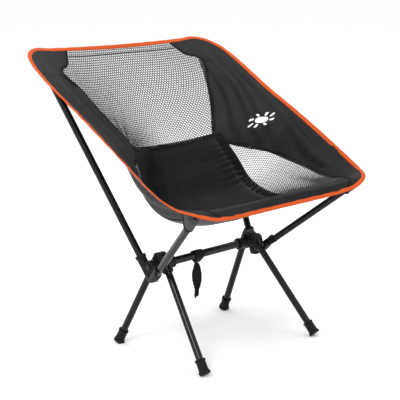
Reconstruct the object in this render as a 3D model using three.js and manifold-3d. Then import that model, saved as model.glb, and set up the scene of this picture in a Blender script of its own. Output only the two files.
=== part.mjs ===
// Ultralight backpacking chair: a fabric sling on four aluminium poles, two hubs joined by a
// crossbar, and four legs that plug into the hubs on shock cord.
// Millimetres. +Z up. The sitter faces -Y. Seen from in front, +X is on the right.
// The origin is on the ground, under the middle of the chair.
import * as THREE from 'three';
import { mergeVertices } from 'three/addons/utils/BufferGeometryUtils.js';
import Module from 'manifold-3d';

const wasm = await Module();
wasm.setup();

// ---- driving dimensions -------------------------------------------------------------------
const CENTRING = 13.8; // the whole chair moves this far along Y, so its middle is over the origin
const HUB_Y = -38; // the pivot and the crossbar share this axis, which runs along X
const HUB_Z = 203;
const APEX = 31; // each bracket's sleeves meet this far above or below the axis
const LEG_X = 141; // middle of the inner bracket, which holds the legs
const POLE_X = 166; // middle of the outer bracket, which holds the poles
const SPLIT_X = 158.5; // the two brackets pass each other on this plane
const SPLIT_GAP = 0.3; // how far each bracket stays off that plane

const TUBE_R = 8; // legs and poles
const TUBE_WALL = 1.2;
const BAR_R = 9; // crossbar
const BAR_WALL = 1.3;
const FIT = 0.5; // radial clearance of a tube in its socket
const CORD_R = 1.6; // shock cord
const FACETS = 16; // sides of every round section

const SLEEVE_R = 11;
const COLLAR_R = 12.6;
const COLLAR_LENGTH = 8;
const LEG_SLEEVE = 53; // from the apex to the mouth
const POLE_SLEEVE = 62;
const SOCKET_DEPTH = 18; // a socket's floor, measured from the apex
const SEAT_GAP = 0.6; // a tube's end stays this far off the socket's floor

const BOLT_R = 3;
const BOSS_R = 15;
const LEG_CROWN = 28; // how far the legs' bracket reaches above the pivot
const POLE_CROWN = 35; // how far the poles' bracket reaches below it
const BOSS_FACE_R = 7.4; // the outer bracket's boss narrows to this against the washer
const BAR_SOCKET_R = 12.6;
const BAR_SOCKET_MOUTH = 105; // |x| where the crossbar enters its socket
const BAR_END = 121;

const FRONT_FOOT = [181, -217.5]; // where the legs' axes meet the base of each foot, x and y
const REAR_FOOT = [173, 72.6];
const FOOT_FLAT = 2.2; // how deep the ground cuts into a foot's lower edge
const FOOT_LENGTH = 33;
const FOOT_R = 11;
const FOOT_FLARE_R = 13.6;

const UPPER_SECTION = 236; // the rear pole's upper section, from its tip
const FERRULE_LENGTH = 70;
const CAP_LENGTH = 16; // plastic cap on a pole's tip, the part outside the tube
const TIP_UNDER_SHEET = 14; // the poles' axes end this far under the fabric

const STRAP_X = -29; // webbing strap on the crossbar
const STRAP_WIDTH = 25;
const STRAP_THICK = 2.2;
const STRAP_END_Z = 102;

const CLOTH = 2; // thickness of every fabric solid
const BIND_OUT = 8; // the edge binding's width
const BIND_SHIFT = 1.6; // how far its middle stands outside the panels' outline
const POCKET_LENGTH = 38;

// Rows of the sling from its front edge to the top of the backrest: the middle line, the seam
// beside the seat and back, and the rim, each as x, y, z.
const MIDDLE = [
  [0, -262, 349], [0, -242, 366], [0, -150, 305], [0, -28, 272], [0, 62, 293],
  [0, 100, 356], [0, 125, 432], [0, 185, 533], [0, 258, 656],
];
const SEAM = [
  [143, -276, 354], [145, -256, 371], [152, -170, 331], [153, -80, 314], [148, -12, 336],
  [136, 25, 392], [128, 66, 452], [160, 140, 540], [150, 257, 657],
];
const RIM = [
  [287, -293, 372], [293, -265, 382], [302, -216, 400], [304, -164, 431], [304, -112, 461],
  [303, -60, 490], [302, 0, 524], [293, 122, 588], [276, 264, 672],
];

// ---- materials ----------------------------------------------------------------------------
const paint = (color, roughness, metalness) => () =>
  new THREE.MeshStandardMaterial({ color, roughness, metalness });
const anodised = paint(0x1f2022, 0.35, 0.9);
const nylon = paint(0x2c2d30, 0.55, 0);
const rubber = paint(0x262725, 0.75, 0);
const steel = paint(0x8d9094, 0.35, 1);
const elastic = paint(0x1b1b1c, 0.85, 0);
const ripstop = paint(0x2a2a2c, 0.85, 0);
const netting = paint(0x3a3a3c, 0.9, 0);
const orange = paint(0xf05a22, 0.75, 0);
const greyCloth = paint(0x77787a, 0.9, 0);
const webbing = paint(0x1c1c1d, 0.95, 0);

// ---- solids -------------------------------------------------------------------------------
const chair = new THREE.Group();

/** Whether a closed mesh's faces are turned inwards, from the sign of its volume. */
function facesIn(position, index) {
  const a = new THREE.Vector3();
  const b = new THREE.Vector3();
  const c = new THREE.Vector3();
  let volume = 0;
  for (let i = 0; i < index.length; i += 3) {
    a.fromArray(position, 3 * index[i]);
    b.fromArray(position, 3 * index[i + 1]);
    c.fromArray(position, 3 * index[i + 2]);
    volume += a.dot(b.cross(c));
  }
  return volume < 0;
}

/** A closed three.js geometry as a manifold solid, with its faces turned outwards. */
function solidOf(geometry) {
  const bare = geometry.clone();
  bare.deleteAttribute('normal');
  bare.deleteAttribute('uv');
  const merged = mergeVertices(bare, 1e-4);
  const position = merged.attributes.position.array;
  const index = [];
  for (let i = 0; i < merged.index.count; i += 3) {
    const [p, q, r] = merged.index.array.slice(i, i + 3);
    if (p !== q && q !== r && r !== p) index.push(p, q, r);
  }
  if (facesIn(position, index)) index.reverse();
  const triVerts = Uint32Array.from(index);
  const vertProperties = Float32Array.from(position);
  return new wasm.Manifold(new wasm.Mesh({ numProp: 3, vertProperties, triVerts }));
}

function geometryOf(solid) {
  const mesh = solid.getMesh();
  const geometry = new THREE.BufferGeometry();
  geometry.setAttribute('position', new THREE.BufferAttribute(mesh.vertProperties, 3));
  geometry.setIndex(new THREE.BufferAttribute(mesh.triVerts, 1));
  geometry.computeVertexNormals();
  return geometry;
}

const joined = (solids) => solids.reduce((sum, solid) => sum.add(solid));
const vec = (p) => new THREE.Vector3(...p);

function add(name, solid, material) {
  const mesh = new THREE.Mesh(geometryOf(solid), material());
  mesh.name = name;
  chair.add(mesh);
}

/** The mirror image of a right-hand solid, on the left. */
function mirrored(solid) {
  return solidOf(geometryOf(solid).applyMatrix4(new THREE.Matrix4().makeScale(-1, 1, 1)));
}

/** Adds a piece made for the right side, and its mirror image on the left. */
function addPair(name, solid, material) {
  add(`${name}_right`, solid, material);
  add(`${name}_left`, mirrored(solid), material);
}

/** Turns a geometry made along +Y so that it starts at a point and runs along a direction. */
function along(geometry, start, direction) {
  const turn = new THREE.Quaternion().setFromUnitVectors(new THREE.Vector3(0, 1, 0), direction);
  const place = new THREE.Matrix4().makeRotationFromQuaternion(turn);
  return geometry.applyMatrix4(place.setPosition(start));
}

/** A solid of revolution: the profile gives radius and distance along the axis. */
function turned(profile, start, direction, facets = FACETS) {
  const points = profile.map(([r, s]) => new THREE.Vector2(r, s));
  return solidOf(along(new THREE.LatheGeometry(points, facets), start, direction));
}

const rod = (r, from, to, start, direction, facets) =>
  turned([[0, from], [r, from], [r, to], [0, to]], start, direction, facets);

const pipe = (r, wall, from, to, start, direction) =>
  turned(
    [[r - wall, from], [r, from], [r, to], [r - wall, to], [r - wall, from]],
    start,
    direction,
  );

/** A flat plate square to X, between two values of x. */
function plate(outline, x0, x1) {
  const shape = new THREE.Shape(outline.map(([y, z]) => new THREE.Vector2(y, z)));
  const solid = new THREE.ExtrudeGeometry(shape, { depth: x1 - x0, bevelEnabled: false });
  const frame = new THREE.Matrix4().makeBasis(
    new THREE.Vector3(0, 1, 0),
    new THREE.Vector3(0, 0, 1),
    new THREE.Vector3(1, 0, 0),
  );
  return solidOf(solid.applyMatrix4(frame.setPosition(x0, 0, 0)));
}

const halfSpace = (x0, x1) =>
  solidOf(new THREE.BoxGeometry(x1 - x0, 400, 400).translate((x0 + x1) / 2, HUB_Y, HUB_Z));

// ---- the sling's surface ------------------------------------------------------------------
/** A smooth curve through a list of points, at t from 0 to 1. */
function rail(points, t) {
  const last = points.length - 1;
  const i = Math.min(Math.floor(t * last), last - 1);
  const f = t * last - i;
  const at = (k) => vec(points[k]);
  const p1 = at(i);
  const p2 = at(i + 1);
  const p0 = i > 0 ? at(i - 1) : p1.clone().multiplyScalar(2).sub(p2);
  const p3 = i + 1 < last ? at(i + 2) : p2.clone().multiplyScalar(2).sub(p1);
  const mix = (a, b, c, d) =>
    0.5 * (2 * b + (c - a) * f + (2 * a - 5 * b + 4 * c - d) * f * f
      + (3 * b - a - 3 * c + d) * f * f * f);
  return new THREE.Vector3(
    mix(p0.x, p1.x, p2.x, p3.x),
    mix(p0.y, p1.y, p2.y, p3.y),
    mix(p0.z, p1.z, p2.z, p3.z),
  );
}

/**
 * The sling at u across (-1 to 1) and v from the front edge (0) to the top (1): a cubic across
 * that is level in the middle and passes through the seam at |u| = 0.5 and the rim at 1.
 */
function sling(u, v) {
  const a = Math.abs(u);
  const m = rail(MIDDLE, v);
  const s = rail(SEAM, v);
  const r = rail(RIM, v);
  const across = (k) => {
    const rise = 8 * (s[k] - m[k]);
    const reach = r[k] - m[k];
    return m[k] + (rise - reach) * a * a + (2 * reach - rise) * a * a * a;
  };
  const x = (4 * s.x - r.x) * a + (2 * r.x - 4 * s.x) * a * a;
  return new THREE.Vector3(Math.sign(u) * x, across('y'), across('z'));
}

/** The sling's unit normal, pointing to the side that is sat on. */
function normal(u, v) {
  const d = 0.002;
  const v0 = Math.max(v - d, 0);
  const v1 = Math.min(v + d, 1);
  const du = sling(u + d, v).sub(sling(u - d, v));
  const dv = sling(u, v1).sub(sling(u, v0));
  return du.cross(dv).normalize();
}

/** A closed solid over a grid of points with a lower and an upper skin. */
function slab(lower, upper, rows, columns) {
  const position = [];
  const index = [];
  const width = columns + 1;
  const skin = (rows + 1) * width;
  for (const face of [lower, upper]) {
    for (let i = 0; i <= rows; i += 1) {
      for (let j = 0; j <= columns; j += 1) position.push(...face(i / rows, j / columns).toArray());
    }
  }
  const at = (i, j, side) => side * skin + i * width + j;
  const quad = (a, b, c, d) => index.push(a, b, c, a, c, d);
  for (let i = 0; i < rows; i += 1) {
    for (let j = 0; j < columns; j += 1) {
      quad(at(i, j, 1), at(i, j + 1, 1), at(i + 1, j + 1, 1), at(i + 1, j, 1));
      quad(at(i, j, 0), at(i + 1, j, 0), at(i + 1, j + 1, 0), at(i, j + 1, 0));
    }
  }
  for (let i = 0; i < rows; i += 1) {
    quad(at(i, 0, 0), at(i, 0, 1), at(i + 1, 0, 1), at(i + 1, 0, 0));
    quad(at(i, columns, 0), at(i + 1, columns, 0), at(i + 1, columns, 1), at(i, columns, 1));
  }
  for (let j = 0; j < columns; j += 1) {
    quad(at(0, j, 0), at(0, j + 1, 0), at(0, j + 1, 1), at(0, j, 1));
    quad(at(rows, j, 0), at(rows, j, 1), at(rows, j + 1, 1), at(rows, j + 1, 0));
  }
  const geometry = new THREE.BufferGeometry();
  geometry.setAttribute('position', new THREE.Float32BufferAttribute(position, 3));
  geometry.setIndex(index);
  return solidOf(geometry);
}

/** Where a list of u, v corners is at t from 0 to 1, in straight steps. */
function edgeAt(edge, t) {
  const last = edge.length - 1;
  const i = Math.min(Math.floor(t * last), last - 1);
  const f = t * last - i;
  return [0, 1].map((k) => edge[i][k] * (1 - f) + edge[i + 1][k] * f);
}

/** A fabric panel ruled between two edges given in u and v, lift above the sling's surface. */
function panel(inner, outer, rows, columns, lift = () => 0) {
  const face = (side) => (t, s) => {
    const [ua, va] = edgeAt(inner, t);
    const [ub, vb] = edgeAt(outer, t);
    const u = ua * (1 - s) + ub * s;
    const v = va * (1 - s) + vb * s;
    return sling(u, v).addScaledVector(normal(u, v), lift(t, s) + (side * CLOTH) / 2);
  };
  return slab(face(-1), face(1), rows, columns);
}

const acrossPanel = (edge, rows, columns) =>
  panel(edge.map(([u, v]) => [-u, v]), edge, rows, columns);

// ---- frame: hubs, crossbar, legs, poles ---------------------------------------------------
const legApex = new THREE.Vector3(LEG_X, HUB_Y, HUB_Z + APEX);
const poleApex = new THREE.Vector3(POLE_X, HUB_Y, HUB_Z - APEX);

/** The middle of a foot's base, as high as its tilt lifts it with the lower edge cut flat. */
function footBase([x, y]) {
  const lean = new THREE.Vector3(x, y, 0).sub(legApex).normalize();
  return new THREE.Vector3(x, y, FOOT_FLARE_R * Math.hypot(lean.x, lean.y) - FOOT_FLAT);
}
const feet = { front: footBase(FRONT_FOOT), rear: footBase(REAR_FOOT) };
const underSheet = (u, v) => sling(u, v).addScaledVector(normal(u, v), -TIP_UNDER_SHEET);
const tips = { front: underSheet(0.89, 0.115), rear: underSheet(0.845, 0.966) };
const xAxis = new THREE.Vector3(1, 0, 0);
const hubAt = (x) => new THREE.Vector3(x, HUB_Y, HUB_Z);

/** One bracket: two sleeves from an apex, the web between them and a boss on the pivot. */
function bracket(apex, ends, sleeveLength, boss, inner, crownReach) {
  const directions = ends.map((end) => end.clone().sub(apex).normalize());
  const sleeve = (d) => turned(
    [
      [0, 0], [SLEEVE_R, 0], [SLEEVE_R, sleeveLength - COLLAR_LENGTH],
      [COLLAR_R, sleeveLength - COLLAR_LENGTH + 1.5], [COLLAR_R, sleeveLength], [0, sleeveLength],
    ],
    apex,
    d,
  );
  const crown = solidOf(new THREE.SphereGeometry(SLEEVE_R, FACETS, 8).translate(...apex.toArray()));
  const webEnd = 34;
  const corner = (d) => [apex.y + d.y * webEnd, apex.z + d.z * webEnd];
  const web = plate(
    [[apex.y, apex.z], corner(directions[0]), corner(directions[1])],
    apex.x - 5,
    apex.x + 5,
  );
  const body = joined([...directions.map(sleeve), crown, web]).intersect(
    inner ? halfSpace(0, SPLIT_X - SPLIT_GAP) : halfSpace(SPLIT_X + SPLIT_GAP, 400),
  );
  // Past the pivot the crown is rounded off at an even distance from it.
  const half = new THREE.BoxGeometry(400, 400, 200).translate(0, HUB_Y, HUB_Z - 100);
  if (!inner) half.translate(0, 0, 200);
  const outside = solidOf(half).add(rod(crownReach, 0, 200, hubAt(0), xAxis));
  const sockets = directions.map((d) =>
    rod(TUBE_R + FIT, SOCKET_DEPTH, sleeveLength + 5, apex, d));
  return sockets.reduce((solid, socket) => solid.subtract(socket), body.intersect(outside).add(boss));
}

const BOSS_INNER = [131, 153.4];
const BOSS_OUTER = [155.4, 177.4];
const NUT_FROM = BAR_END + 0.5;
const NUT_LENGTH = 4.5;
const HEAD = [177.7, 181.2];
const HEAD_R = 6.4;

const legEnds = [feet.front, feet.rear];
const poleEnds = [tips.front, tips.rear];

const barSocket = turned(
  [
    [0, BAR_SOCKET_MOUTH], [BAR_SOCKET_R + 1.4, BAR_SOCKET_MOUTH],
    [BAR_SOCKET_R + 1.4, BAR_SOCKET_MOUTH + 6], [BAR_SOCKET_R, BAR_SOCKET_MOUTH + 7.5],
    [BAR_SOCKET_R, BOSS_INNER[0] + 6], [0, BOSS_INNER[0] + 6],
  ],
  hubAt(0),
  xAxis,
);
const legBoss = rod(BOSS_R, BOSS_INNER[0], BOSS_INNER[1], hubAt(0), xAxis).add(barSocket);
const poleBoss = rod(BOSS_R, SPLIT_X + SPLIT_GAP, BOSS_OUTER[1], hubAt(0), xAxis)
  .add(rod(BOSS_FACE_R, BOSS_OUTER[0], BOSS_OUTER[1] - 1, hubAt(0), xAxis));
const legYoke = bracket(legApex, legEnds, LEG_SLEEVE, legBoss, true, LEG_CROWN)
  .subtract(rod(BAR_R + FIT, BAR_SOCKET_MOUTH - 5, BAR_END + 0.3, hubAt(0), xAxis))
  .subtract(rod(HEAD_R + 0.4, BAR_END - 2, NUT_FROM + NUT_LENGTH + 0.4, hubAt(0), xAxis))
  .subtract(rod(BOLT_R + 0.3, BAR_END, BOSS_INNER[1] + 5, hubAt(0), xAxis));
const poleYoke = bracket(poleApex, poleEnds, POLE_SLEEVE, poleBoss, false, POLE_CROWN)
  .subtract(rod(BOLT_R + 0.4, BOSS_OUTER[0] - 5, BOSS_OUTER[1] + 5, hubAt(0), xAxis));
addPair('leg_yoke', legYoke, nylon);
addPair('pole_yoke', poleYoke, nylon);

add('crossbar', pipe(BAR_R, BAR_WALL, -BAR_END, BAR_END, hubAt(0), xAxis), anodised);

const boltEnd = NUT_FROM + NUT_LENGTH - 0.6;
addPair(
  'pivot_bolt',
  turned(
    [
      [0, boltEnd], [BOLT_R, boltEnd], [BOLT_R, HEAD[0]], [HEAD_R, HEAD[0]],
      [HEAD_R, HEAD[1] - 1.2], [HEAD_R - 1.4, HEAD[1]], [0, HEAD[1]],
    ],
    hubAt(0),
    xAxis,
  ),
  steel,
);
addPair(
  'pivot_washer',
  pipe(BOSS_FACE_R, 3.9, BOSS_INNER[1] + 0.3, BOSS_OUTER[0] - 0.3, hubAt(0), xAxis),
  steel,
);
const nutBore = rod(BOLT_R + 0.3, NUT_FROM - 1, NUT_FROM + NUT_LENGTH + 1, hubAt(0), xAxis);
addPair(
  'pivot_nut',
  rod(HEAD_R, NUT_FROM + 0.2, NUT_FROM + NUT_LENGTH - 0.2, hubAt(0), xAxis, 6).subtract(nutBore),
  steel,
);

/** A moulded foot round the end of a leg, cut level where it meets the ground. */
function foot(base, up) {
  const body = turned(
    [
      [0, 0], [FOOT_FLARE_R - 1.2, 0], [FOOT_FLARE_R, 1.2], [FOOT_FLARE_R, 4.2],
      [FOOT_R + 0.6, 8.5], [FOOT_R - 0.4, FOOT_LENGTH - 4], [FOOT_R + 0.4, FOOT_LENGTH - 3],
      [FOOT_R + 0.4, FOOT_LENGTH], [0, FOOT_LENGTH],
    ],
    base,
    up,
  );
  const ground = solidOf(new THREE.BoxGeometry(600, 600, 50).translate(0, 0, -25));
  const socket = rod(TUBE_R + FIT, 10, FOOT_LENGTH + 5, base, up);
  const plug = turned(
    [[0, 9], [TUBE_R - TUBE_WALL - FIT, 9], [TUBE_R - TUBE_WALL - FIT, 22], [0, 22]],
    base,
    up,
  );
  return body.subtract(socket).add(plug).subtract(ground);
}

for (const [end, base] of Object.entries(feet)) {
  const up = legApex.clone().sub(base);
  const length = up.length();
  up.normalize();
  addPair(`foot_${end}`, foot(base, up), rubber);
  const top = length - SOCKET_DEPTH - SEAT_GAP;
  addPair(`leg_tube_${end}`, pipe(TUBE_R, TUBE_WALL, 10.5, top, base, up), anodised);
  addPair(
    `leg_cord_${end}`,
    rod(CORD_R, 60, length - SOCKET_DEPTH - 0.3, base, up, 8),
    elastic,
  );
}

for (const [end, tip] of Object.entries(tips)) {
  const up = tip.clone().sub(poleApex);
  const length = up.length();
  up.normalize();
  const start = SOCKET_DEPTH + SEAT_GAP;
  const top = length - CAP_LENGTH;
  const innerR = TUBE_R - TUBE_WALL;
  const split = length - UPPER_SECTION;
  const section = (from, to) => pipe(TUBE_R, TUBE_WALL, from, to, poleApex, up);
  if (end === 'rear') {
    addPair('rear_pole_lower', section(start, split - 0.2), anodised);
    addPair('rear_pole_upper', section(split + 0.2, top - 0.4), anodised);
    const half = FERRULE_LENGTH / 2;
    addPair(
      'rear_pole_ferrule',
      pipe(innerR - 0.35, 1.2, split - half, split + half, poleApex, up),
      anodised,
    );
  } else {
    addPair('front_pole', section(start, top - 0.4), anodised);
  }
  const plugEnd = top - 14;
  addPair(
    `tip_cap_${end}`,
    turned(
      [
        [0, plugEnd], [innerR - 0.4, plugEnd], [innerR - 0.4, top], [TUBE_R + 1.2, top],
        [TUBE_R + 1.2, top + 9], [TUBE_R - 1, top + 14], [0, top + CAP_LENGTH],
      ],
      poleApex,
      up,
    ),
    nylon,
  );
  addPair(`pole_cord_${end}`, rod(CORD_R, start, plugEnd - 0.4, poleApex, up, 8), elastic);
}

// ---- sling --------------------------------------------------------------------------------
// Edges are lists of u, v from the front edge towards the top of the backrest.
const MESH_SIDE = [
  [0.497, 0.745], [0.56, 0.866], [0.66, 0.921], [0.725, 0.946], [0.62, 0.965], [0.55, 0.997],
];
add('back_mesh', acrossPanel(MESH_SIDE, 15, 12), netting);
add('seat_panel', acrossPanel([[0.497, 0.14], [0.497, 0.737]], 12, 10), ripstop);
add('front_band', acrossPanel([[0.7, 0.016], [0.75, 0.133]], 4, 16), ripstop);
addPair(
  'side_mesh',
  panel(
    [[0.506, 0.142], [0.506, 0.42], [0.506, 0.62], [0.52, 0.7]],
    [[0.795, 0.15], [0.815, 0.39], [0.75, 0.552], [0.54, 0.707]],
    12,
    6,
  ),
  netting,
);
addPair(
  'side_panel',
  panel(
    [
      [0.81, 0.165], [0.824, 0.39], [0.76, 0.56], [0.535, 0.727], [0.506, 0.752],
      [0.569, 0.866], [0.669, 0.917], [0.735, 0.937],
    ],
    [
      [0.972, 0.3], [0.975, 0.39], [0.975, 0.53], [0.975, 0.66], [0.975, 0.735],
      [0.978, 0.81], [1.0, 0.865], [1.02, 0.905],
    ],
    14,
    6,
  ),
  ripstop,
);
addPair(
  'corner_patch_front',
  panel(
    [[0.712, 0.016], [0.735, 0.05], [0.812, 0.162]],
    [[0.775, 0.026], [0.845, 0.07], [0.96, 0.285]],
    6,
    5,
  ),
  ripstop,
);
addPair(
  'corner_patch_rear',
  panel(
    [[0.744, 0.95], [0.73, 0.953], [0.63, 0.969], [0.56, 0.994]],
    [[1.02, 0.922], [1.015, 0.945], [0.98, 0.966], [0.84, 0.988]],
    6,
    5,
  ),
  ripstop,
);

/** The pocket that a pole's tip sits in: a closed-ended sleeve of cloth under the corner. */
for (const [end, tip] of Object.entries(tips)) {
  const up = tip.clone().sub(poleApex).normalize();
  const inside = TUBE_R + 1.2 + 0.5;
  addPair(
    `pocket_${end}`,
    turned(
      [
        [inside, -POCKET_LENGTH], [inside + CLOTH, -POCKET_LENGTH], [inside + CLOTH, -2],
        [inside - 2, 0.6 + CLOTH], [0, 0.6 + CLOTH], [0, 0.6], [inside - 3, 0.6],
        [inside, -3.5], [inside, -POCKET_LENGTH],
      ],
      tip,
      up,
    ),
    greyCloth,
  );
}

/** The sling's outline: straight sides with rounded corners, at t from 0 to 1 round the rim. */
const OUTLINE = [
  [0, 0], [0.5, 0], [0.7, 0], [0.8, 0.01], [0.87, 0.042], [0.93, 0.09], [0.967, 0.135],
  [0.985, 0.19], [0.995, 0.3], [0.995, 0.5], [0.995, 0.7], [0.998, 0.8], [1.03, 0.87],
  [1.05, 0.915], [1.04, 0.95], [0.995, 0.975], [0.93, 0.99], [0.85, 0.998], [0.7, 1], [0, 1],
];
const loop = [
  ...OUTLINE,
  ...OUTLINE.slice(1, -1).reverse().map(([u, v]) => [-u, v]),
];
const rimCurve = new THREE.CatmullRomCurve3(loop.map(([u, v]) => sling(u, v)), true, 'centripetal');
const normalCurve = new THREE.CatmullRomCurve3(loop.map(([u, v]) => normal(u, v)), true);

/** The folded edge tape: a flat oval section carried round the whole rim. */
function binding(steps, sides) {
  const position = [];
  const index = [];
  for (let i = 0; i < steps; i += 1) {
    const t = rimCurve.getUtoTmapping(i / steps);
    const centre = rimCurve.getPoint(t);
    const tangent = rimCurve.getTangent(t);
    const up = normalCurve.getPoint(t).normalize();
    const out = tangent.clone().cross(up).normalize();
    for (let j = 0; j < sides; j += 1) {
      const angle = (2 * Math.PI * j) / sides;
      const p = centre.clone()
        .addScaledVector(out, BIND_SHIFT + (BIND_OUT / 2) * Math.cos(angle))
        .addScaledVector(up, 1.9 * Math.sin(angle));
      position.push(...p.toArray());
    }
  }
  for (let i = 0; i < steps; i += 1) {
    for (let j = 0; j < sides; j += 1) {
      const a = i * sides + j;
      const b = i * sides + ((j + 1) % sides);
      const c = ((i + 1) % steps) * sides + ((j + 1) % sides);
      const d = ((i + 1) % steps) * sides + j;
      index.push(a, b, c, a, c, d);
    }
  }
  const geometry = new THREE.BufferGeometry();
  geometry.setAttribute('position', new THREE.Float32BufferAttribute(position, 3));
  geometry.setIndex(index);
  return solidOf(geometry);
}
add('edge_binding', binding(76, 6), orange);

// ---- strap on the crossbar ----------------------------------------------------------------
const loopInner = BAR_R + 0.8;
const loopOuter = loopInner + STRAP_THICK;
const strapAt = hubAt(STRAP_X - STRAP_WIDTH / 2);
const neckLow = HUB_Z - loopOuter - 9;
const strapLoop = pipe(loopOuter, STRAP_THICK, 0, STRAP_WIDTH, strapAt, xAxis).add(
  solidOf(
    new THREE.BoxGeometry(STRAP_WIDTH, 2 * STRAP_THICK, loopOuter - loopInner + 9).translate(
      STRAP_X,
      HUB_Y,
      (neckLow + HUB_Z - loopInner - 0.4) / 2,
    ),
  ),
);
add('strap_loop', strapLoop, webbing);
// The tail's top is round about the line it swings on, so that it clears the loop's neck.
const tailTop = neckLow - 0.4;
const swingZ = tailTop - STRAP_THICK;
const strapTail = rod(STRAP_THICK, 0, STRAP_WIDTH, strapAt.clone().setZ(swingZ), xAxis, 24).add(
  solidOf(
    new THREE.BoxGeometry(STRAP_WIDTH, 2 * STRAP_THICK, swingZ - STRAP_END_Z).translate(
      STRAP_X,
      HUB_Y,
      (swingZ + STRAP_END_Z) / 2,
    ),
  ),
);
add('strap_tail', strapTail, webbing);

chair.position.y = CENTRING;
export default chair;
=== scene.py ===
"""Looks of an ultralight backpacking chair: a stretched cloth and net sling with an orange edge
tape, four black poles, two moulded hubs joined by a crossbar, and four legs on shock cord.
Metres. +Z up, the sitter faces -Y. "right" is +X, the right of someone facing the chair."""
import math

import bmesh
import bpy
import numpy as np
from mathutils import Matrix, Vector


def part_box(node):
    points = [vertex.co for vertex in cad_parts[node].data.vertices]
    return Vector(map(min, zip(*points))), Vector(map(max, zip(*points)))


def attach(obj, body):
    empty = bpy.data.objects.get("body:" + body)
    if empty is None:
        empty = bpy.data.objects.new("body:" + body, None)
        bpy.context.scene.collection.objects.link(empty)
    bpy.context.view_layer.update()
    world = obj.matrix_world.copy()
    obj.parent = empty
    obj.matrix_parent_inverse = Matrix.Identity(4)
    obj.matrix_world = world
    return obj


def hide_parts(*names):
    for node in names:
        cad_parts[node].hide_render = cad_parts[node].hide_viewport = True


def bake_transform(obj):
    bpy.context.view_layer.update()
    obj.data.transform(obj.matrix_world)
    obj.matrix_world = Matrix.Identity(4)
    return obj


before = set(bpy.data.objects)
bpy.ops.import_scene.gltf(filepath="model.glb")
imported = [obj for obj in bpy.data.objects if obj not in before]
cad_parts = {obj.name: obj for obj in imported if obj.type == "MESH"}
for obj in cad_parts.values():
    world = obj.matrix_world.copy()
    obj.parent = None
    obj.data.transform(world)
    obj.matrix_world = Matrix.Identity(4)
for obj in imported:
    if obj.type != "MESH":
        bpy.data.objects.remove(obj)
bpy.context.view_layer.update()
MM = 0.001

# ---- where things are ---------------------------------------------------------------------
bar_low, bar_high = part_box("crossbar")
HUB = (np.array(bar_low) + np.array(bar_high)) / 2  # the pivot axis runs along X through here
SHIFT = np.array([0, HUB[1] + 38 * MM, 0])  # the design's own zero of Y, from the hub
BAR_END = float(bar_high[0])
APEX = 31 * MM
LEG_X, POLE_X, SPLIT_X, SPLIT_GAP = 141 * MM, 166 * MM, 158.5 * MM, 0.3 * MM
TUBE_R, TUBE_WALL, BAR_R, BAR_WALL = 8 * MM, 1.2 * MM, 9 * MM, 1.3 * MM
FIT, CORD_R = 0.5 * MM, 1.6 * MM
SLEEVE_R, COLLAR_R = 11 * MM, 12.6 * MM
LEG_SLEEVE, POLE_SLEEVE = 53 * MM, 62 * MM
SOCKET_DEPTH, SEAT_GAP = 18 * MM, 0.6 * MM
FOOT_FLARE, FOOT_LENGTH, FOOT_FLAT = 13.6 * MM, 33 * MM, 2.2 * MM
CAP_LENGTH, TIP_UNDER_SHEET, UPPER_SECTION = 16 * MM, 14 * MM, 236 * MM
CLOTH = 0.7 * MM
NET_PITCH, NET_OPEN, NET_THICK = 6.1 * MM, 0.74, 1.2 * MM

# Rows of the sling from its front edge to the top of the backrest, in millimetres: the middle
# line, the seam beside the seat and back, and the rim.
MIDDLE = [
    [0, -262, 349], [0, -242, 366], [0, -150, 305], [0, -28, 272], [0, 62, 293],
    [0, 100, 356], [0, 125, 432], [0, 185, 533], [0, 258, 656],
]
SEAM = [
    [143, -276, 354], [145, -256, 371], [152, -170, 331], [153, -80, 314], [148, -12, 336],
    [136, 25, 392], [128, 66, 452], [160, 140, 540], [150, 257, 657],
]
RIM = [
    [287, -293, 372], [293, -265, 382], [302, -216, 400], [304, -164, 431], [304, -112, 461],
    [303, -60, 490], [302, 0, 524], [293, 122, 588], [276, 264, 672],
]
ACROSS, ALONG = 0.29, 1.05  # metres of cloth for one unit of u and of v, near enough


def through(p, t):
    """A smooth curve through evenly spaced points, at t from 0 to 1: in each stretch a cubic
    whose slope at a point is half the step from the point before it to the point after."""
    last = len(p) - 1
    p = np.vstack([2 * p[0] - p[1], p, 2 * p[-1] - p[-2]])
    i = np.clip((t * last).astype(int), 0, last - 1)
    f = (t * last - i)[..., None]
    a, b, c, d = (p[i + k] for k in range(4))
    curve = (c - a) * f + (2 * a - 5 * b + 4 * c - d) * f**2 + (3 * b - a - 3 * c + d) * f**3
    return b + curve / 2


def rail(rows, t):
    """The curve through one line of the sling's rows."""
    return through(np.array(rows, float) * MM + SHIFT, t)


def sling(u, v):
    """The sling at u across, -1 to 1, and v from the front edge, 0, to the top, 1: across it is
    a cubic in |u| that is level in the middle and passes the seam at 0.5 and the rim at 1."""
    u, v = np.broadcast_arrays(np.asarray(u, float), np.asarray(v, float))
    a = np.abs(u)[..., None]
    m, s, r = rail(MIDDLE, v), rail(SEAM, v), rail(RIM, v)
    rise, reach = 8 * (s - m), r - m
    out = m + (rise - reach) * a**2 + (2 * reach - rise) * a**3
    x = (4 * s[..., :1] - r[..., :1]) * a + (2 * r[..., :1] - 4 * s[..., :1]) * a**2
    return np.concatenate([np.sign(u)[..., None] * x, out[..., 1:]], -1)


def unit(a):
    return a / np.maximum(np.linalg.norm(a, axis=-1, keepdims=True), 1e-12)


def normal(u, v):
    """The sling's unit normal, from small steps in u and v. It points to the sat-on side."""
    d = 0.002
    u, v = np.broadcast_arrays(np.asarray(u, float), np.asarray(v, float))
    across = sling(u + d, v) - sling(u - d, v)
    up = sling(u, np.minimum(v + d, 1)) - sling(u, np.maximum(v - d, 0))
    return unit(np.cross(across, up))


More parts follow.
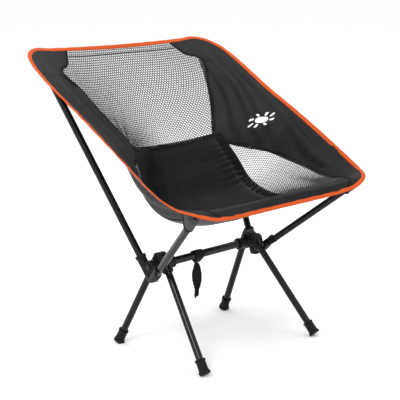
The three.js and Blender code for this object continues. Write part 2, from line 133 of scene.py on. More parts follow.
def nearest(points, u, v):
    """The u and v of the sling's points nearest to some points, by repeated flat steps."""
    for _ in range(12):
        e, d = points - sling(u, v), 0.002
        du = (sling(u + d, v) - sling(u - d, v)) / (2 * d)
        dv = (sling(u, v + d) - sling(u, v - d)) / (2 * d)
        aa, ab, bb = (np.sum(p * q, -1) for p, q in ((du, du), (du, dv), (dv, dv)))
        ea, eb = np.sum(e * du, -1), np.sum(e * dv, -1)
        det = aa * bb - ab**2
        u = np.clip(u + (bb * ea - ab * eb) / det, -0.999, 0.999)
        v = np.clip(v + (aa * eb - ab * ea) / det, 0.001, 0.999)
    return u, v


# ---- materials ----------------------------------------------------------------------------
def srgb(text):
    """A hex colour such as "2A2A2C", turned from sRGB to linear light."""
    c = np.array([int(text[i : i + 2], 16) / 255 for i in (0, 2, 4)])
    c = np.where(c <= 0.04045, c / 12.92, ((c + 0.055) / 1.055) ** 2.4)
    return (*c.tolist(), 1.0)


def node(tree, kind, inputs=None, **settings):
    """Adds a node; an input is a value, or another node's output to link from."""
    made = tree.nodes.new("ShaderNode" + kind)
    for key, value in settings.items():
        setattr(made, key, value)
    for key, value in (inputs or {}).items():
        if isinstance(value, bpy.types.NodeSocket):
            tree.links.new(value, made.inputs[key])
        else:
            made.inputs[key].default_value = value
    return made


def ramp(tree, fac, stops):
    """A colour ramp from (place, hex) stops."""
    made = node(tree, "ValToRGB", {"Fac": fac})
    made.color_ramp.elements[0].position, made.color_ramp.elements[1].position = 0, 1
    while len(made.color_ramp.elements) < len(stops):
        made.color_ramp.elements.new(0.5)
    for element, (place, colour) in zip(made.color_ramp.elements, stops):
        element.position, element.color = place, srgb(colour)
    return made.outputs["Color"]


def material(name, **values):
    """A material with its one Principled shader; values go on the shader's own sockets."""
    made = bpy.data.materials.new(name)
    made.use_nodes = True
    shader = made.node_tree.nodes["Principled BSDF"]
    for key, value in values.items():
        shader.inputs[key.replace("_", " ")].default_value = value
    return made, made.node_tree, shader


def bump(tree, shader, height, depth):
    """Raises the surface by a height from 0 to 1 times depth, in metres."""
    made = node(tree, "Bump", {"Height": height, "Distance": depth, "Strength": 1.0})
    tree.links.new(made.outputs["Normal"], shader.inputs["Normal"])


def maths(tree, operation, a, b=0.0):
    return node(tree, "Math", {0: a, 1: b}, operation=operation).outputs[0]


def noise(tree, vector, size, detail=3.0, rough=0.55):
    """Noise whose lumps are about `size` metres."""
    made = node(tree, "TexNoise", {
        "Vector": vector, "Scale": 1 / size, "Detail": detail, "Roughness": rough})
    return made.outputs["Fac"]


def ribs(tree, vector, axis, pitch):
    """Even ribs across one axis of the vector, from 0 in a groove to 1 on a crest."""
    parts = node(tree, "SeparateXYZ", {"Vector": vector})
    turn = maths(tree, "MULTIPLY", parts.outputs[axis], 2 * math.pi / pitch)
    return maths(tree, "MULTIPLY", maths(tree, "ADD", maths(tree, "SINE", turn), 1.0), 0.5)


def surface_map(tree):
    """The piece's own map, laid out in metres along and across the cloth or tube."""
    return node(tree, "UVMap", uv_map="lay").outputs["UV"]


def place_map(tree):
    return node(tree, "TexCoord").outputs["Object"]


def cloth(name, dark, mid, light, thread, depth, sheen, roughness, gloss=0.3):
    """Plain weave: warp and weft ribs that rise by turns, uneven dyeing and a soft sheen. The
    real thread is about a quarter of a millimetre; it is drawn coarser so that it shows."""
    made, tree, shader = material(
        name, Roughness=roughness, Sheen_Weight=sheen, Sheen_Roughness=0.45,
        Specular_IOR_Level=gloss)
    lay = surface_map(tree)
    warp, weft = ribs(tree, lay, "X", thread), ribs(tree, lay, "Y", thread)
    weave = maths(tree, "ABSOLUTE", maths(tree, "SUBTRACT", warp, weft))
    blotch = noise(tree, lay, 0.035, 4)
    speck = noise(tree, lay, 0.0012, 2)
    # Painted light: the weave term lightens the raised thread crossings; blotch and speck are
    # uneven dyeing and random tone.
    tone = maths(tree, "ADD", maths(tree, "MULTIPLY", weave, 0.28),
                 maths(tree, "ADD", maths(tree, "MULTIPLY", blotch, 0.6),
                       maths(tree, "MULTIPLY", speck, 0.25)))
    tree.links.new(ramp(tree, tone, [(0.15, dark), (0.55, mid), (0.95, light)]),
                   shader.inputs["Base Color"])
    height = maths(tree, "ADD", weave, maths(tree, "MULTIPLY", speck, 0.6))
    bump(tree, shader, height, depth)
    return made


# Polyester cloth, tightly woven and coated on the back: nearly black, with a faint silky sheen.
ripstop = cloth("woven_polyester_black", "0E0E0F", "161617", "242426", 0.9 * MM, 0.12 * MM,
                0.002, 0.38, 0.09)
# The same cloth gathered into hems and seam tapes: a shade darker, with a coarser rib.
hem_cloth = cloth("hemmed_polyester_black", "0B0B0C", "131314", "1F1F20", 1.1 * MM, 0.15 * MM,
                  0.001, 0.6, 0.04)
# Grey pocket cloth, plain woven and matt. Its colour is darkened to a dark grey as painted
# shade for the shadow under the sling's corners.
grey_cloth = cloth("woven_polyester_grey_painted_shade", "252627", "343537", "444547", 1.0 * MM, 0.14 * MM,
                   0.05, 0.75)

# Knitted polyester net: rounded matt strands that catch a little light.
netting, tree, shader = material(
    "knitted_net_charcoal", Roughness=0.6, Sheen_Weight=0.03, Specular_IOR_Level=0.35)
lay = surface_map(tree)
strand = noise(tree, lay, 0.9 * MM, 2)
tree.links.new(ramp(tree, strand, [(0.3, "1C1C1D"), (0.7, "3A3A3C")]),
               shader.inputs["Base Color"])
bump(tree, shader, strand, 0.12 * MM)


def ribbed(name, dark, light, pitch, depth, roughness, sheen, along="Y"):
    """Tape ribbed across its length: painted light on each rib's crest, painted shade between."""
    made, tree, shader = material(
        name, Roughness=roughness, Sheen_Weight=sheen, Sheen_Roughness=0.4,
        Specular_IOR_Level=0.12)
    lay = surface_map(tree)
    rib = ribs(tree, lay, along, pitch)
    fuzz = noise(tree, lay, 0.6 * MM, 2)
    # Painted light and shade: the rib term lightens each crest and darkens each groove; the fuzz
    # is random tone.
    tone = maths(tree, "ADD", maths(tree, "MULTIPLY", rib, 0.6),
                 maths(tree, "MULTIPLY", fuzz, 0.5))
    tree.links.new(ramp(tree, tone, [(0.1, dark), (0.9, light)]), shader.inputs["Base Color"])
    bump(tree, shader, tone, depth)
    return made


# Grosgrain polyester tape, folded over the edge: saturated orange, ribbed across, matt.
orange = ribbed("grosgrain_tape_orange", "9E3A0E", "C04E1A", 1.6 * MM, 0.16 * MM, 0.66, 0.02)
# Polypropylene webbing: dull black with a strong rib.
webbing = ribbed("woven_webbing_black", "0B0B0C", "1D1D1F", 1.8 * MM, 0.25 * MM, 0.8, 0.03)
# Black grosgrain that binds the pocket mouths.
black_tape = ribbed("grosgrain_tape_black", "0B0B0C", "1A1A1C", 1.6 * MM, 0.15 * MM, 0.75, 0.02)
# Shock cord: rubber in a tight braided cover.
elastic = ribbed("braided_cord_black", "0D0D0E", "232325", 1.5 * MM, 0.2 * MM, 0.6, 0.02)
# Sewing thread: slightly glossy twisted polyester.
thread_black = ribbed("sewing_thread_black", "121213", "2C2C2E", 0.5 * MM, 0.05 * MM, 0.5, 0.02)
thread_orange = ribbed("sewing_thread_orange", "C03C0E", "E86426", 0.5 * MM, 0.05 * MM, 0.5, 0.02)

# Black anodised aluminium tube, drawn: fine lines along it and a few scuffs. The dyed oxide
# skin hides the metal, so the shader is barely metallic.
anodised, tree, shader = material(
    "anodised_aluminium_black", Metallic=0.05, Roughness=0.28, Specular_IOR_Level=0.24)
lay = surface_map(tree)
drawn = node(tree, "Mapping", {"Vector": lay, "Scale": (1.0, 0.02, 1.0)}).outputs["Vector"]
line = noise(tree, drawn, 0.35 * MM, 2)
scuff = noise(tree, place_map(tree), 0.012, 5, 0.7)
tree.links.new(ramp(tree, line, [(0.35, "0B0B0D"), (0.65, "141416")]),
               shader.inputs["Base Color"])
tree.links.new(
    maths(tree, "ADD", maths(tree, "MULTIPLY", scuff, 0.22),
          maths(tree, "MULTIPLY", line, 0.2)),
    shader.inputs["Roughness"])
bump(tree, shader, line, 0.01 * MM)


def moulded(name, dark, light, roughness, grain, depth):
    """Moulded part: a fine even grain, and flow marks that shift its tone and gloss a little."""
    made, tree, shader = material(name, Roughness=roughness, Specular_IOR_Level=0.14)
    place = place_map(tree)
    fine, flow = noise(tree, place, grain, 2), noise(tree, place, 0.012, 4)
    tree.links.new(ramp(tree, flow, [(0.3, dark), (0.7, light)]), shader.inputs["Base Color"])
    rough = maths(tree, "ADD", maths(tree, "MULTIPLY", flow, 0.25), roughness - 0.12)
    tree.links.new(rough, shader.inputs["Roughness"])
    bump(tree, shader, fine, depth)
    return made


# Glass-filled nylon, moulded: charcoal, spark-eroded grain, a broad soft highlight.
nylon = moulded("moulded_nylon_charcoal", "0E0E0F", "171719", 0.42, 0.7 * MM, 0.05 * MM)
# Thermoplastic rubber feet: a shade darker than the nylon, and matt.
rubber = moulded("moulded_rubber_charcoal", "0C0C0B", "151514", 0.55, 0.9 * MM, 0.06 * MM)

# Blackened steel screws, washers and nuts: dark grey with a mottled tone.
steel, tree, shader = material("blackened_steel", Metallic=1.0, Roughness=0.34)
plate = noise(tree, place_map(tree), 1.5 * MM, 4)
tree.links.new(ramp(tree, plate, [(0.3, "2A2B2D"), (0.7, "4A4C4F")]), shader.inputs["Base Color"])
bump(tree, shader, plate, 0.01 * MM)

# White screen ink: thin, matt and slightly broken by the weave under it.
ink, tree, shader = material("screen_ink_white", Roughness=0.6)
broken = noise(tree, surface_map(tree), 0.9 * MM, 2)
tree.links.new(ramp(tree, broken, [(0.25, "C9C9C9"), (0.5, "F2F2F2")]),
               shader.inputs["Base Color"])
bump(tree, shader, broken, 0.05 * MM)


# ---- making meshes ------------------------------------------------------------------------
def grid_faces(rows, cols, wrap_rows=False, wrap_cols=False):
    """Quads over a grid of points; a wrapped side joins its last line of points to its first."""
    i, j = np.meshgrid(np.arange(rows if wrap_rows else rows - 1),
                       np.arange(cols if wrap_cols else cols - 1), indexing="ij")
    near, far = i, (i + 1) % rows
    left, right = j, (j + 1) % cols
    quad = [near * cols + left, near * cols + right, far * cols + right, far * cols + left]
    return np.stack(quad, -1).reshape(-1, 4)


def corner_map(across, along, count, cols):
    """The map of a wrapped grid's quads, with one row for each corner, so that the last column
    of quads doesn't run back across the whole map."""
    i, j = np.divmod(np.arange(count), cols)
    return np.stack([np.stack([across[j + a], along[i + b]], -1)
                     for a, b in ((0, 0), (1, 0), (1, 1), (0, 1))], 1)


def volume(points, faces):
    """Signed volume of a closed mesh of quads, six tetrahedra's worth at a time."""
    a, b, c, d = (points[faces[:, k]] for k in range(4))
    return (np.sum(a * np.cross(b, c)) + np.sum(a * np.cross(c, d))) / 6


def mesh_piece(name, points, faces, lay, finish, body, slot, replaces=(), sharp=38):
    """A piece from points, quads and its map. lay is one row for each point, or one row for
    each corner of each quad. A closed mesh is turned so that its faces point outwards."""
    points, faces = np.asarray(points, float).reshape(-1, 3), np.asarray(faces)
    corner = lay[faces] if lay.ndim == 2 else lay
    if volume(points, faces) < 0:
        faces, corner = faces[:, ::-1], corner[:, ::-1]
    mesh = bpy.data.meshes.new(name)
    mesh.vertices.add(len(points))
    mesh.vertices.foreach_set("co", points.ravel())
    mesh.loops.add(faces.size)
    mesh.loops.foreach_set("vertex_index", faces.ravel().astype(np.int32))
    mesh.polygons.add(len(faces))
    mesh.polygons.foreach_set("loop_start", np.arange(0, faces.size, 4, dtype=np.int32))
    mesh.uv_layers.new(name="lay").uv.foreach_set("vector", corner.reshape(-1, 2).ravel())
    mesh.update(calc_edges=True)
    weld = bmesh.new()
    weld.from_mesh(mesh)
    bmesh.ops.remove_doubles(weld, verts=weld.verts, dist=1e-7)
    bmesh.ops.dissolve_degenerate(weld, edges=weld.edges, dist=1e-8)
    weld.to_mesh(mesh)
    weld.free()
    return settle(bpy.data.objects.new(name, mesh), finish, body, replaces, sharp)


def settle(piece, finish, body, replaces=(), sharp=38):
    """Gives a piece its finish, smooth shading with sharp edges and its body."""
    if piece.name not in bpy.context.scene.collection.objects:
        bpy.context.scene.collection.objects.link(piece)
    piece.data.materials.clear()
    piece.data.materials.append(finish)
    piece.data.polygons.foreach_set("use_smooth", [True] * len(piece.data.polygons))
    piece.data.set_sharp_from_angle(angle=math.radians(sharp))
    if body:
        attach(piece, body)
    if replaces:
        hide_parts(*replaces)
    return piece


def axes_of(direction):
    """Two unit vectors square to a direction."""
    d = unit(np.asarray(direction, float))
    side = unit(np.cross(d, [0, 0, 1.0] if abs(d[2]) < 0.9 else [1.0, 0, 0]))
    return d, side, np.cross(d, side)


def turned(profile, start, direction, facets=48, swell=None):
    """A solid of revolution about a line. The profile gives radius and distance; it starts and
    ends on the line, or closes on itself. swell(angle, radius, distance) may change the radius.
    Returns points, quads and a map in metres round and along."""
    profile = np.array(profile, float)
    closed = bool(np.allclose(profile[0], profile[-1]))
    if closed:
        profile = profile[:-1]
    d, side, other = axes_of(direction)
    angle = 2 * np.pi * np.arange(facets) / facets
    r, s = (np.broadcast_to(profile[:, k, None], (len(profile), facets)) for k in (0, 1))
    r = r if swell is None else swell(angle[None, :], r, s)
    ring = np.cos(angle)[:, None] * side + np.sin(angle)[:, None] * other
    points = np.asarray(start) + s[..., None] * d + r[..., None] * ring[None]
    rows = len(profile)
    faces = grid_faces(rows, facets, wrap_rows=closed, wrap_cols=True)
    step = np.hypot(*np.diff(np.vstack([profile, profile[:1]]), axis=0).T)
    down = np.concatenate([[0], np.cumsum(step)])
    round_ = np.arange(facets + 1) / facets * 2 * np.pi * float(profile[:, 0].max())
    return points.reshape(-1, 3), faces, corner_map(round_, down, len(faces), facets)


def rod(r, start, end, at, direction, facets=48):
    """A plain round rod between two distances along a line."""
    return turned([[0, start], [r, start], [r, end], [0, end]], at, direction, facets)


def joined(*parts):
    """Several shapes as one: points, quads and maps one after another."""
    points, faces, lays, base = [], [], [], 0
    for p, f, l in parts:
        if volume(p, f) < 0:
            f, l = f[:, ::-1], (l[:, ::-1] if l.ndim == 3 else l)
        points.append(p)
        lays.append(l[f] if l.ndim == 2 else l)
        faces.append(f + base)
        base += len(p)
    return np.vstack(points), np.vstack(faces), np.vstack(lays)


def slab(top, bottom, lay):
    """A closed solid between two grids of points with the same rows and columns."""
    rows, cols = top.shape[:2]
    points = np.concatenate([top, bottom[:, ::-1]], 1)
    faces = grid_faces(rows, 2 * cols, wrap_cols=True)
    j = np.arange(cols - 1)
    lid = np.stack([j, j + 1, 2 * cols - 2 - j, 2 * cols - 1 - j], -1)
    faces = np.vstack([faces, lid[:, ::-1], lid + (rows - 1) * 2 * cols])
    return points.reshape(-1, 3), faces, np.concatenate([lay, lay[:, ::-1]], 1).reshape(-1, 2)


SIDES = {"right": 1, "left": -1}


def flip(shape, side):
    """A right-hand shape, or its mirror image for the left."""
    points, faces, lay = shape
    if side > 0:
        return shape
    lay = lay[faces] if lay.ndim == 2 else lay
    return points * [-1, 1, 1], faces[:, ::-1], lay[:, ::-1]


def pair(name, shape, finish, body, slot, replaces=(), sharp=38):
    """A piece on the right and its mirror image on the left. "SIDE" in a name is filled in."""
    made = {}
    for side, sign in SIDES.items():
        points, faces, lay = flip(shape, sign)
        made[side] = mesh_piece(
            f"{name}_{side}", points, faces, lay, finish, body.replace("SIDE", side), slot,
            [n.replace("SIDE", side) for n in replaces], sharp)
    return made


def pipe(r, wall, start, end, at, direction, edge=0.25 * MM):
    """A tube with its ends' edges broken by a small bevel."""
    low = r - wall
    return turned(
        [[low, start + edge], [low + edge, start], [r - edge, start], [r, start + edge],
         [r, end - edge], [r - edge, end], [low + edge, end], [low, end - edge],
         [low, start + edge]], at, direction)


# ---- frame: tubes, feet, cords ------------------------------------------------------------
leg_apex = np.array([LEG_X, HUB[1], HUB[2] + APEX])
pole_apex = np.array([POLE_X, HUB[1], HUB[2] - APEX])
X = np.array([1.0, 0, 0])
foot_at = {"front": (181 * MM, -217.5 * MM + SHIFT[1]), "rear": (173 * MM, 72.6 * MM + SHIFT[1])}
tip_at = {"front": (0.89, 0.115), "rear": (0.845, 0.966)}


def foot_shape(base, up):
    """A foot round the leg's end: a shaft with eight shallow flutes, a lip at its mouth, and a
    flared base whose rim swells in five rounded lobes. It is cut level at the ground."""
    top = FOOT_LENGTH
    profile = [[0, 0], [9.5 * MM, 0], [12.3 * MM, 0.5 * MM], [13.3 * MM, 1.6 * MM],
               [13.6 * MM, 3 * MM], [13.2 * MM, 4.6 * MM], [12.2 * MM, 6.4 * MM],
               [11.3 * MM, 8.4 * MM], [10.9 * MM, 11 * MM], [10.7 * MM, 16 * MM],
               [10.6 * MM, top - 6 * MM], [10.7 * MM, top - 4.4 * MM],
               [11.6 * MM, top - 3.8 * MM], [11.9 * MM, top - 3 * MM],
               [11.9 * MM, top - 0.8 * MM], [11.4 * MM, top], [9 * MM, top],
               [TUBE_R + FIT, top - 0.6 * MM], [TUBE_R + FIT, 10 * MM], [0, 10 * MM]]

    def swell(angle, r, s):
        low = np.clip(1 - s / (8.5 * MM), 0, 1) * np.clip(r / (9 * MM), 0, 1) ** 2
        lobe = np.abs(np.cos(2.5 * angle)) ** 0.6 - 1
        shaft = np.clip((s - 7 * MM) / (4 * MM), 0, 1) * (s < top - 4 * MM) * (r > 9.5 * MM)
        return r + 3.2 * MM * low * lobe - 0.55 * MM * shaft * (0.5 + 0.5 * np.cos(8 * angle))

    rows = []
    for a, b in zip(profile[:-1], profile[1:]):
        n = max(1, int(math.hypot(b[0] - a[0], b[1] - a[1]) / (1.6 * MM)))
        rows += [[a[0] + (b[0] - a[0]) * k / n, a[1] + (b[1] - a[1]) * k / n] for k in range(n)]
    points, faces, lay = turned(rows + [profile[-1]], base, up, 80, swell)
    points[:, 2] = np.maximum(points[:, 2], 0)
    return points, faces, lay


def foot_base(x, y):
    """The middle of a foot's underside, sunk so that the level cut leaves a small flat."""
    lean = unit(np.array([x, y, 0]) - leg_apex)
    return np.array([x, y, FOOT_FLARE * math.hypot(lean[0], lean[1]) - FOOT_FLAT])


for end, (x, y) in foot_at.items():
    base = foot_base(x, y)
    length = float(np.linalg.norm(leg_apex - base))
    up = (leg_apex - base) / length
    body = f"leg_{end}_SIDE"
    pair(f"foot_{end}", foot_shape(base, up), rubber, body, "rubber",
         [f"foot_{end}_SIDE"])
    pair(f"leg_{end}", pipe(TUBE_R, TUBE_WALL, 10.5 * MM, length - SOCKET_DEPTH - SEAT_GAP,
                            base, up), anodised, body, "anodised", [f"leg_tube_{end}_SIDE"])
    cord = [[0, 60 * MM], [CORD_R, 60.3 * MM], [CORD_R, length - SOCKET_DEPTH - 0.5 * MM],
            [0, length - SOCKET_DEPTH - 0.3 * MM]]
    pair(f"shock_cord_leg_{end}", turned(cord, base, up, 20), elastic, "base", "elastic",
         [f"leg_cord_{end}_SIDE"])

pole_up, pole_length = {}, {}
for end, (u, v) in tip_at.items():
    tip = sling(u, v) - TIP_UNDER_SHEET * normal(u, v)
    length = float(np.linalg.norm(tip - pole_apex))
    up = (tip - pole_apex) / length
    pole_up[end], pole_length[end] = up, length
    start, top = SOCKET_DEPTH + SEAT_GAP, length - CAP_LENGTH
    inner = TUBE_R - TUBE_WALL
    if end == "rear":
        split = length - UPPER_SECTION
        pair("pole_rear_lower", pipe(TUBE_R, TUBE_WALL, start, split - 0.2 * MM, pole_apex, up,
                                     0.6 * MM), anodised, "seat_frame", "anodised",
             ["rear_pole_lower_SIDE"])
        pair("pole_rear_upper", pipe(TUBE_R, TUBE_WALL, split + 0.2 * MM, top - 0.4 * MM,
                                     pole_apex, up, 0.6 * MM), anodised, "seat_frame",
             "anodised", ["rear_pole_upper_SIDE"])
        pair("pole_rear_ferrule", pipe(inner - 0.35 * MM, 1.2 * MM, split - 35 * MM,
                                       split + 35 * MM, pole_apex, up), anodised,
             "seat_frame", "anodised", ["rear_pole_ferrule_SIDE"])
    else:
        pair("pole_front", pipe(TUBE_R, TUBE_WALL, start, top - 0.4 * MM, pole_apex, up),
             anodised, "seat_frame", "anodised", ["front_pole_SIDE"])
    plug = top - 14 * MM
    cap = [[0, plug], [inner - 0.7 * MM, plug], [inner - 0.4 * MM, plug + 0.4 * MM],
           [inner - 0.4 * MM, top], [TUBE_R + 0.8 * MM, top], [TUBE_R + 1.2 * MM, top + 0.5 * MM],
           [TUBE_R + 1.2 * MM, top + 8 * MM], [TUBE_R + 0.5 * MM, top + 11 * MM],
           [TUBE_R - 1.2 * MM, top + 13.6 * MM], [TUBE_R - 4 * MM, top + 15.4 * MM],
           [0, top + CAP_LENGTH]]
    pair(f"tip_{end}", turned(cap, pole_apex, up), nylon, "seat_frame", "nylon",
         [f"tip_cap_{end}_SIDE"])
    cord = [[0, start], [CORD_R, start + 0.2 * MM], [CORD_R, plug - 0.6 * MM],
            [0, plug - 0.4 * MM]]
    pair(f"shock_cord_pole_{end}", turned(cord, pole_apex, up, 20), elastic, "seat_frame",
         "elastic", [f"pole_cord_{end}_SIDE"])

mesh_piece("crossbar_tube", *pipe(BAR_R, BAR_WALL, -BAR_END, BAR_END, HUB, X), anodised, "base",
           "anodised", ["crossbar"])


# ---- hubs ---------------------------------------------------------------------------------
def plain_object(name, shape):
    """A bare object from a shape, to be worked on with modifiers."""
    return mesh_piece(name, *shape, nylon, None, "nylon")


def applied(piece):
    """The piece with its modifiers made part of its mesh."""
    graph = bpy.context.evaluated_depsgraph_get()
    mesh = bpy.data.meshes.new_from_object(piece.evaluated_get(graph))
    piece.modifiers.clear()
    piece.data = mesh
    return piece


def moulded_hub(name, solids, holes, limit, crown, above):
    """Solids melted into one moulding with soft fillets, its sockets and bore cut out after.
    limit keeps it on its own side of the plane where the two brackets pass each other. The
    crown past the pivot is rounded off at an even distance from the pivot's line."""
    piece = plain_object(name, joined(*solids))
    melt = piece.modifiers.new("melt", "REMESH")
    melt.mode, melt.voxel_size, melt.adaptivity = "VOXEL", 0.85 * MM, 0
    ease = piece.modifiers.new("ease", "SMOOTH")
    ease.factor, ease.iterations = 0.5, 3
    applied(piece)
    co = np.zeros(len(piece.data.vertices) * 3)
    piece.data.vertices.foreach_get("co", co)
    co = co.reshape(-1, 3)
    out = co[:, 1:] - HUB[1:]
    far = np.hypot(out[:, 0], out[:, 1])
    past = (out[:, 1] * above > 0) & (far > crown)
    co[past, 1:] = HUB[1:] + out[past] * (crown / far[past])[:, None]
    co[:, 0] = np.minimum(co[:, 0], limit[1]) if limit[1] else co[:, 0]
    co[:, 0] = np.maximum(co[:, 0], limit[0]) if limit[0] else co[:, 0]
    piece.data.vertices.foreach_set("co", co.ravel())
    tool = plain_object(name + "_tool", joined(*holes))
    cut = piece.modifiers.new("cut", "BOOLEAN")
    cut.operation, cut.solver, cut.object, cut.use_self = "DIFFERENCE", "EXACT", tool, True
    applied(piece)
    bpy.data.objects.remove(tool)
    return piece


def hub_solids(apex, ends, length):
    """A bracket's two sleeves with a raised collar at each mouth, a ball where they meet, and
    the web between them."""
    solids, holes, directions = [], [], []
    for direction in ends:
        d = unit(direction)
        directions.append(d)
        lip = length - 8 * MM
        solids.append(turned(
            [[0, 0], [SLEEVE_R, 0], [SLEEVE_R, lip - 0.8 * MM], [COLLAR_R - 0.3 * MM, lip],
             [COLLAR_R, lip + 0.8 * MM], [COLLAR_R, length - 0.8 * MM],
             [COLLAR_R - 0.8 * MM, length], [0, length]], apex, d, 40))
        holes.append(rod(TUBE_R + FIT, SOCKET_DEPTH, length + 5 * MM, apex, d, 40))
    a = np.linspace(0, np.pi, 17)
    ball = np.stack([SLEEVE_R * np.sin(a), -SLEEVE_R * np.cos(a)], -1)
    solids.append(turned(ball, apex, directions[0], 32))
    reach = 40 * MM
    corners = np.array([apex, apex + directions[0] * reach, apex + directions[1] * reach])
    across = np.array([4.5 * MM, 0, 0])
    top, bottom = (np.stack([corners[[0, 1]] * [0, 1, 1] + [apex[0], 0, 0],
                             corners[[0, 2]] * [0, 1, 1] + [apex[0], 0, 0]]) + k * across
                   for k in (1, -1))
    solids.append(slab(top, bottom, np.zeros((2, 2, 2))))
    return solids, holes


BOSS_R, LEG_CROWN, POLE_CROWN = 15 * MM, 28 * MM, 35 * MM
NUT_BORE, NUT_POCKET_R = 3.3 * MM, 6.8 * MM
inner_boss, outer_boss = (131 * MM, 153.4 * MM), (155.4 * MM, 177.4 * MM)
leg_ends = [foot_base(x, y) - leg_apex for x, y in foot_at.values()]
pole_ends = [pole_up["front"], pole_up["rear"]]
axis = HUB * [0, 1, 1]

solids, holes = hub_solids(leg_apex, leg_ends, LEG_SLEEVE)
solids += [
    rod(BOSS_R, *inner_boss, axis, X),
    turned([[0, 105 * MM], [14 * MM, 105 * MM], [14 * MM, 111 * MM], [12.6 * MM, 112.5 * MM],
            [12.6 * MM, 137 * MM], [0, 137 * MM]], axis, X)]
holes += [
    rod(BAR_R + FIT, 100 * MM, 121.3 * MM, axis, X),  # the crossbar's socket
    rod(NUT_POCKET_R, 119 * MM, 126.4 * MM, axis, X),
    rod(NUT_BORE, 120 * MM, 160 * MM, axis, X)]  # the screw's way through
right = moulded_hub("hub_inner", solids, holes, (None, SPLIT_X - SPLIT_GAP), LEG_CROWN, 1)

solids, outer_holes = hub_solids(pole_apex, pole_ends, POLE_SLEEVE)
solids += [
    turned([[0, 158.8 * MM], [BOSS_R, 158.8 * MM], [BOSS_R, outer_boss[1] - 0.5 * MM],
            [BOSS_R - 0.8 * MM, outer_boss[1]], [12.6 * MM, outer_boss[1]],
            [12.2 * MM, outer_boss[1] - 1.6 * MM], [9.6 * MM, outer_boss[1] - 1.6 * MM],
            [9.2 * MM, outer_boss[1] - 0.2 * MM], [0, outer_boss[1] - 0.2 * MM]], axis, X)]
outer_holes += [rod(3.4 * MM, 150 * MM, 185 * MM, axis, X)]
outer = moulded_hub("hub_outer", solids, outer_holes, (SPLIT_X + SPLIT_GAP, None), POLE_CROWN,
                    -1)


for part, body, node_name in ((right, "base", "leg_yoke"), (outer, "seat_frame", "pole_yoke")):
    title = part.name
    mirror = part.copy()
    mirror.data = part.data.copy()
    part.name, mirror.name = f"{title}_right", f"{title}_left"
    turn = bmesh.new()
    turn.from_mesh(mirror.data)
    bmesh.ops.scale(turn, verts=turn.verts, vec=(-1, 1, 1))
    bmesh.ops.reverse_faces(turn, faces=turn.faces)
    turn.to_mesh(mirror.data)
    turn.free()
    for side, piece in (("right", part), ("left", mirror)):
        settle(piece, nylon, body, [f"{node_name}_{side}"], 42)

# The pivot: a screw with a hexagon socket in its head, a washer between the brackets, a nut.
head, head_r, bolt_r = (177.7 * MM, 181.2 * MM), 6.4 * MM, 3 * MM
screw = [[0, 125.4 * MM], [bolt_r - 0.4 * MM, 125.4 * MM], [bolt_r, 125.8 * MM],
         [bolt_r, head[0]], [head_r - 0.2 * MM, head[0]], [head_r, head[0] + 0.3 * MM],
         [head_r, head[1] - 1.2 * MM], [head_r - 0.5 * MM, head[1] - 0.4 * MM],
         [head_r - 1.4 * MM, head[1]], [2.6 * MM, head[1]], [2.3 * MM, head[1] - 0.3 * MM],
         [2.3 * MM, head[1] - 2.4 * MM], [0, head[1] - 2.8 * MM]]


def flats(angle):
    """The share of a hexagon's corner radius at which its sides lie, by angle."""
    return math.cos(math.pi / 6) / np.cos((angle % (math.pi / 3)) - math.pi / 6)


def hexagon_socket(angle, r, s):
    """The socket's round wall pulled in to six flats."""
    inside = (r < 2.7 * MM) & (s > head[0])
    return np.where(inside, r * flats(angle) * 1.08, r)


pair("pivot_screw", turned(screw, axis, X, 48, hexagon_socket), steel, "base", "steel",
     ["pivot_bolt_SIDE"])
pair("pivot_spacer", pipe(7.4 * MM, 3.9 * MM, 153.7 * MM, 155.1 * MM, axis, X), steel, "base",
     "steel", ["pivot_washer_SIDE"])


def hexagon(angle, r, s):
    """A round outside pulled in to six flats."""
    return np.where(r > 5 * MM, r * flats(angle), r)


pair("pivot_lock_nut", turned(
    [[NUT_BORE, 121.7 * MM], [5.9 * MM, 121.7 * MM], [6.4 * MM, 122.1 * MM],
     [6.4 * MM, 125.3 * MM], [5.9 * MM, 125.8 * MM], [NUT_BORE, 125.8 * MM],
     [NUT_BORE, 121.7 * MM]], axis, X, 48, hexagon), steel, "base", "steel",
     ["pivot_nut_SIDE"])


# ---- sling: panels ------------------------------------------------------------------------
def smooth_line(corners, t):
    """A curve through u, v corners, at t from 0 to 1."""
    return through(np.array(corners, float), t)


def swing(x, y):
    """A slow uneven wave, the sum of three sines that don't keep step."""
    return (np.sin(x + 0.7 * np.sin(y)) + 0.6 * np.sin(1.9 * x - 0.8 * y + 1.3)
            + 0.4 * np.sin(0.7 * x + 2.3 * y + 0.4)) / 2


def folds(u, v):
    """How far the cloth stands off its smooth surface, in metres. Long soft folds run along the
    side panels, small gathers stand across every seam, and the seat has shallow creases."""
    a, s = np.abs(u), np.sign(u)
    rim = np.clip((0.985 - a) / 0.06, 0, 1) * np.clip((v - 0.01) / 0.05, 0, 1)
    rim = rim * np.clip((0.997 - v) / 0.03, 0, 1)
    side = np.clip((a - 0.55) / 0.12, 0, 1) * np.clip((v - 0.2) / 0.15, 0, 1)
    side = side * np.clip((0.97 - v) / 0.1, 0, 1)
    long_fold = np.sin(34 * (a - 0.28 * (v - 0.6) ** 2) + 2.4 * np.sin(3.1 * v + s) + s)
    out = 10.5 * MM * side * rim * (np.abs(0.5 + 0.5 * long_fold) ** 1.6 - 0.4)
    by_seam = np.exp(-np.abs(a - 0.5) * ACROSS / (16 * MM)) * (v > 0.14) * (v < 0.96)
    gather = np.sin(v * ALONG / (4.6 * MM) + 2.2 * np.sin(19 * v) + s) * np.cos(9 * v + s)
    out = out + 1.2 * MM * by_seam * gather * np.clip((v - 0.14) / 0.05, 0, 1)
    seat = np.clip((0.5 - a) / 0.08, 0, 1) * np.clip((v - 0.15) / 0.06, 0, 1) * (v < 0.745)
    out = out + 2.6 * MM * seat * swing(9 * u + 3 * s * v, 17 * v)
    hem = np.exp(-np.abs(v - 0.74) * ALONG / (14 * MM)) * (a < 0.5)
    out = out + 0.7 * MM * hem * np.sin(a * ACROSS / (5.5 * MM) + np.sin(9 * u))
    return out * rim


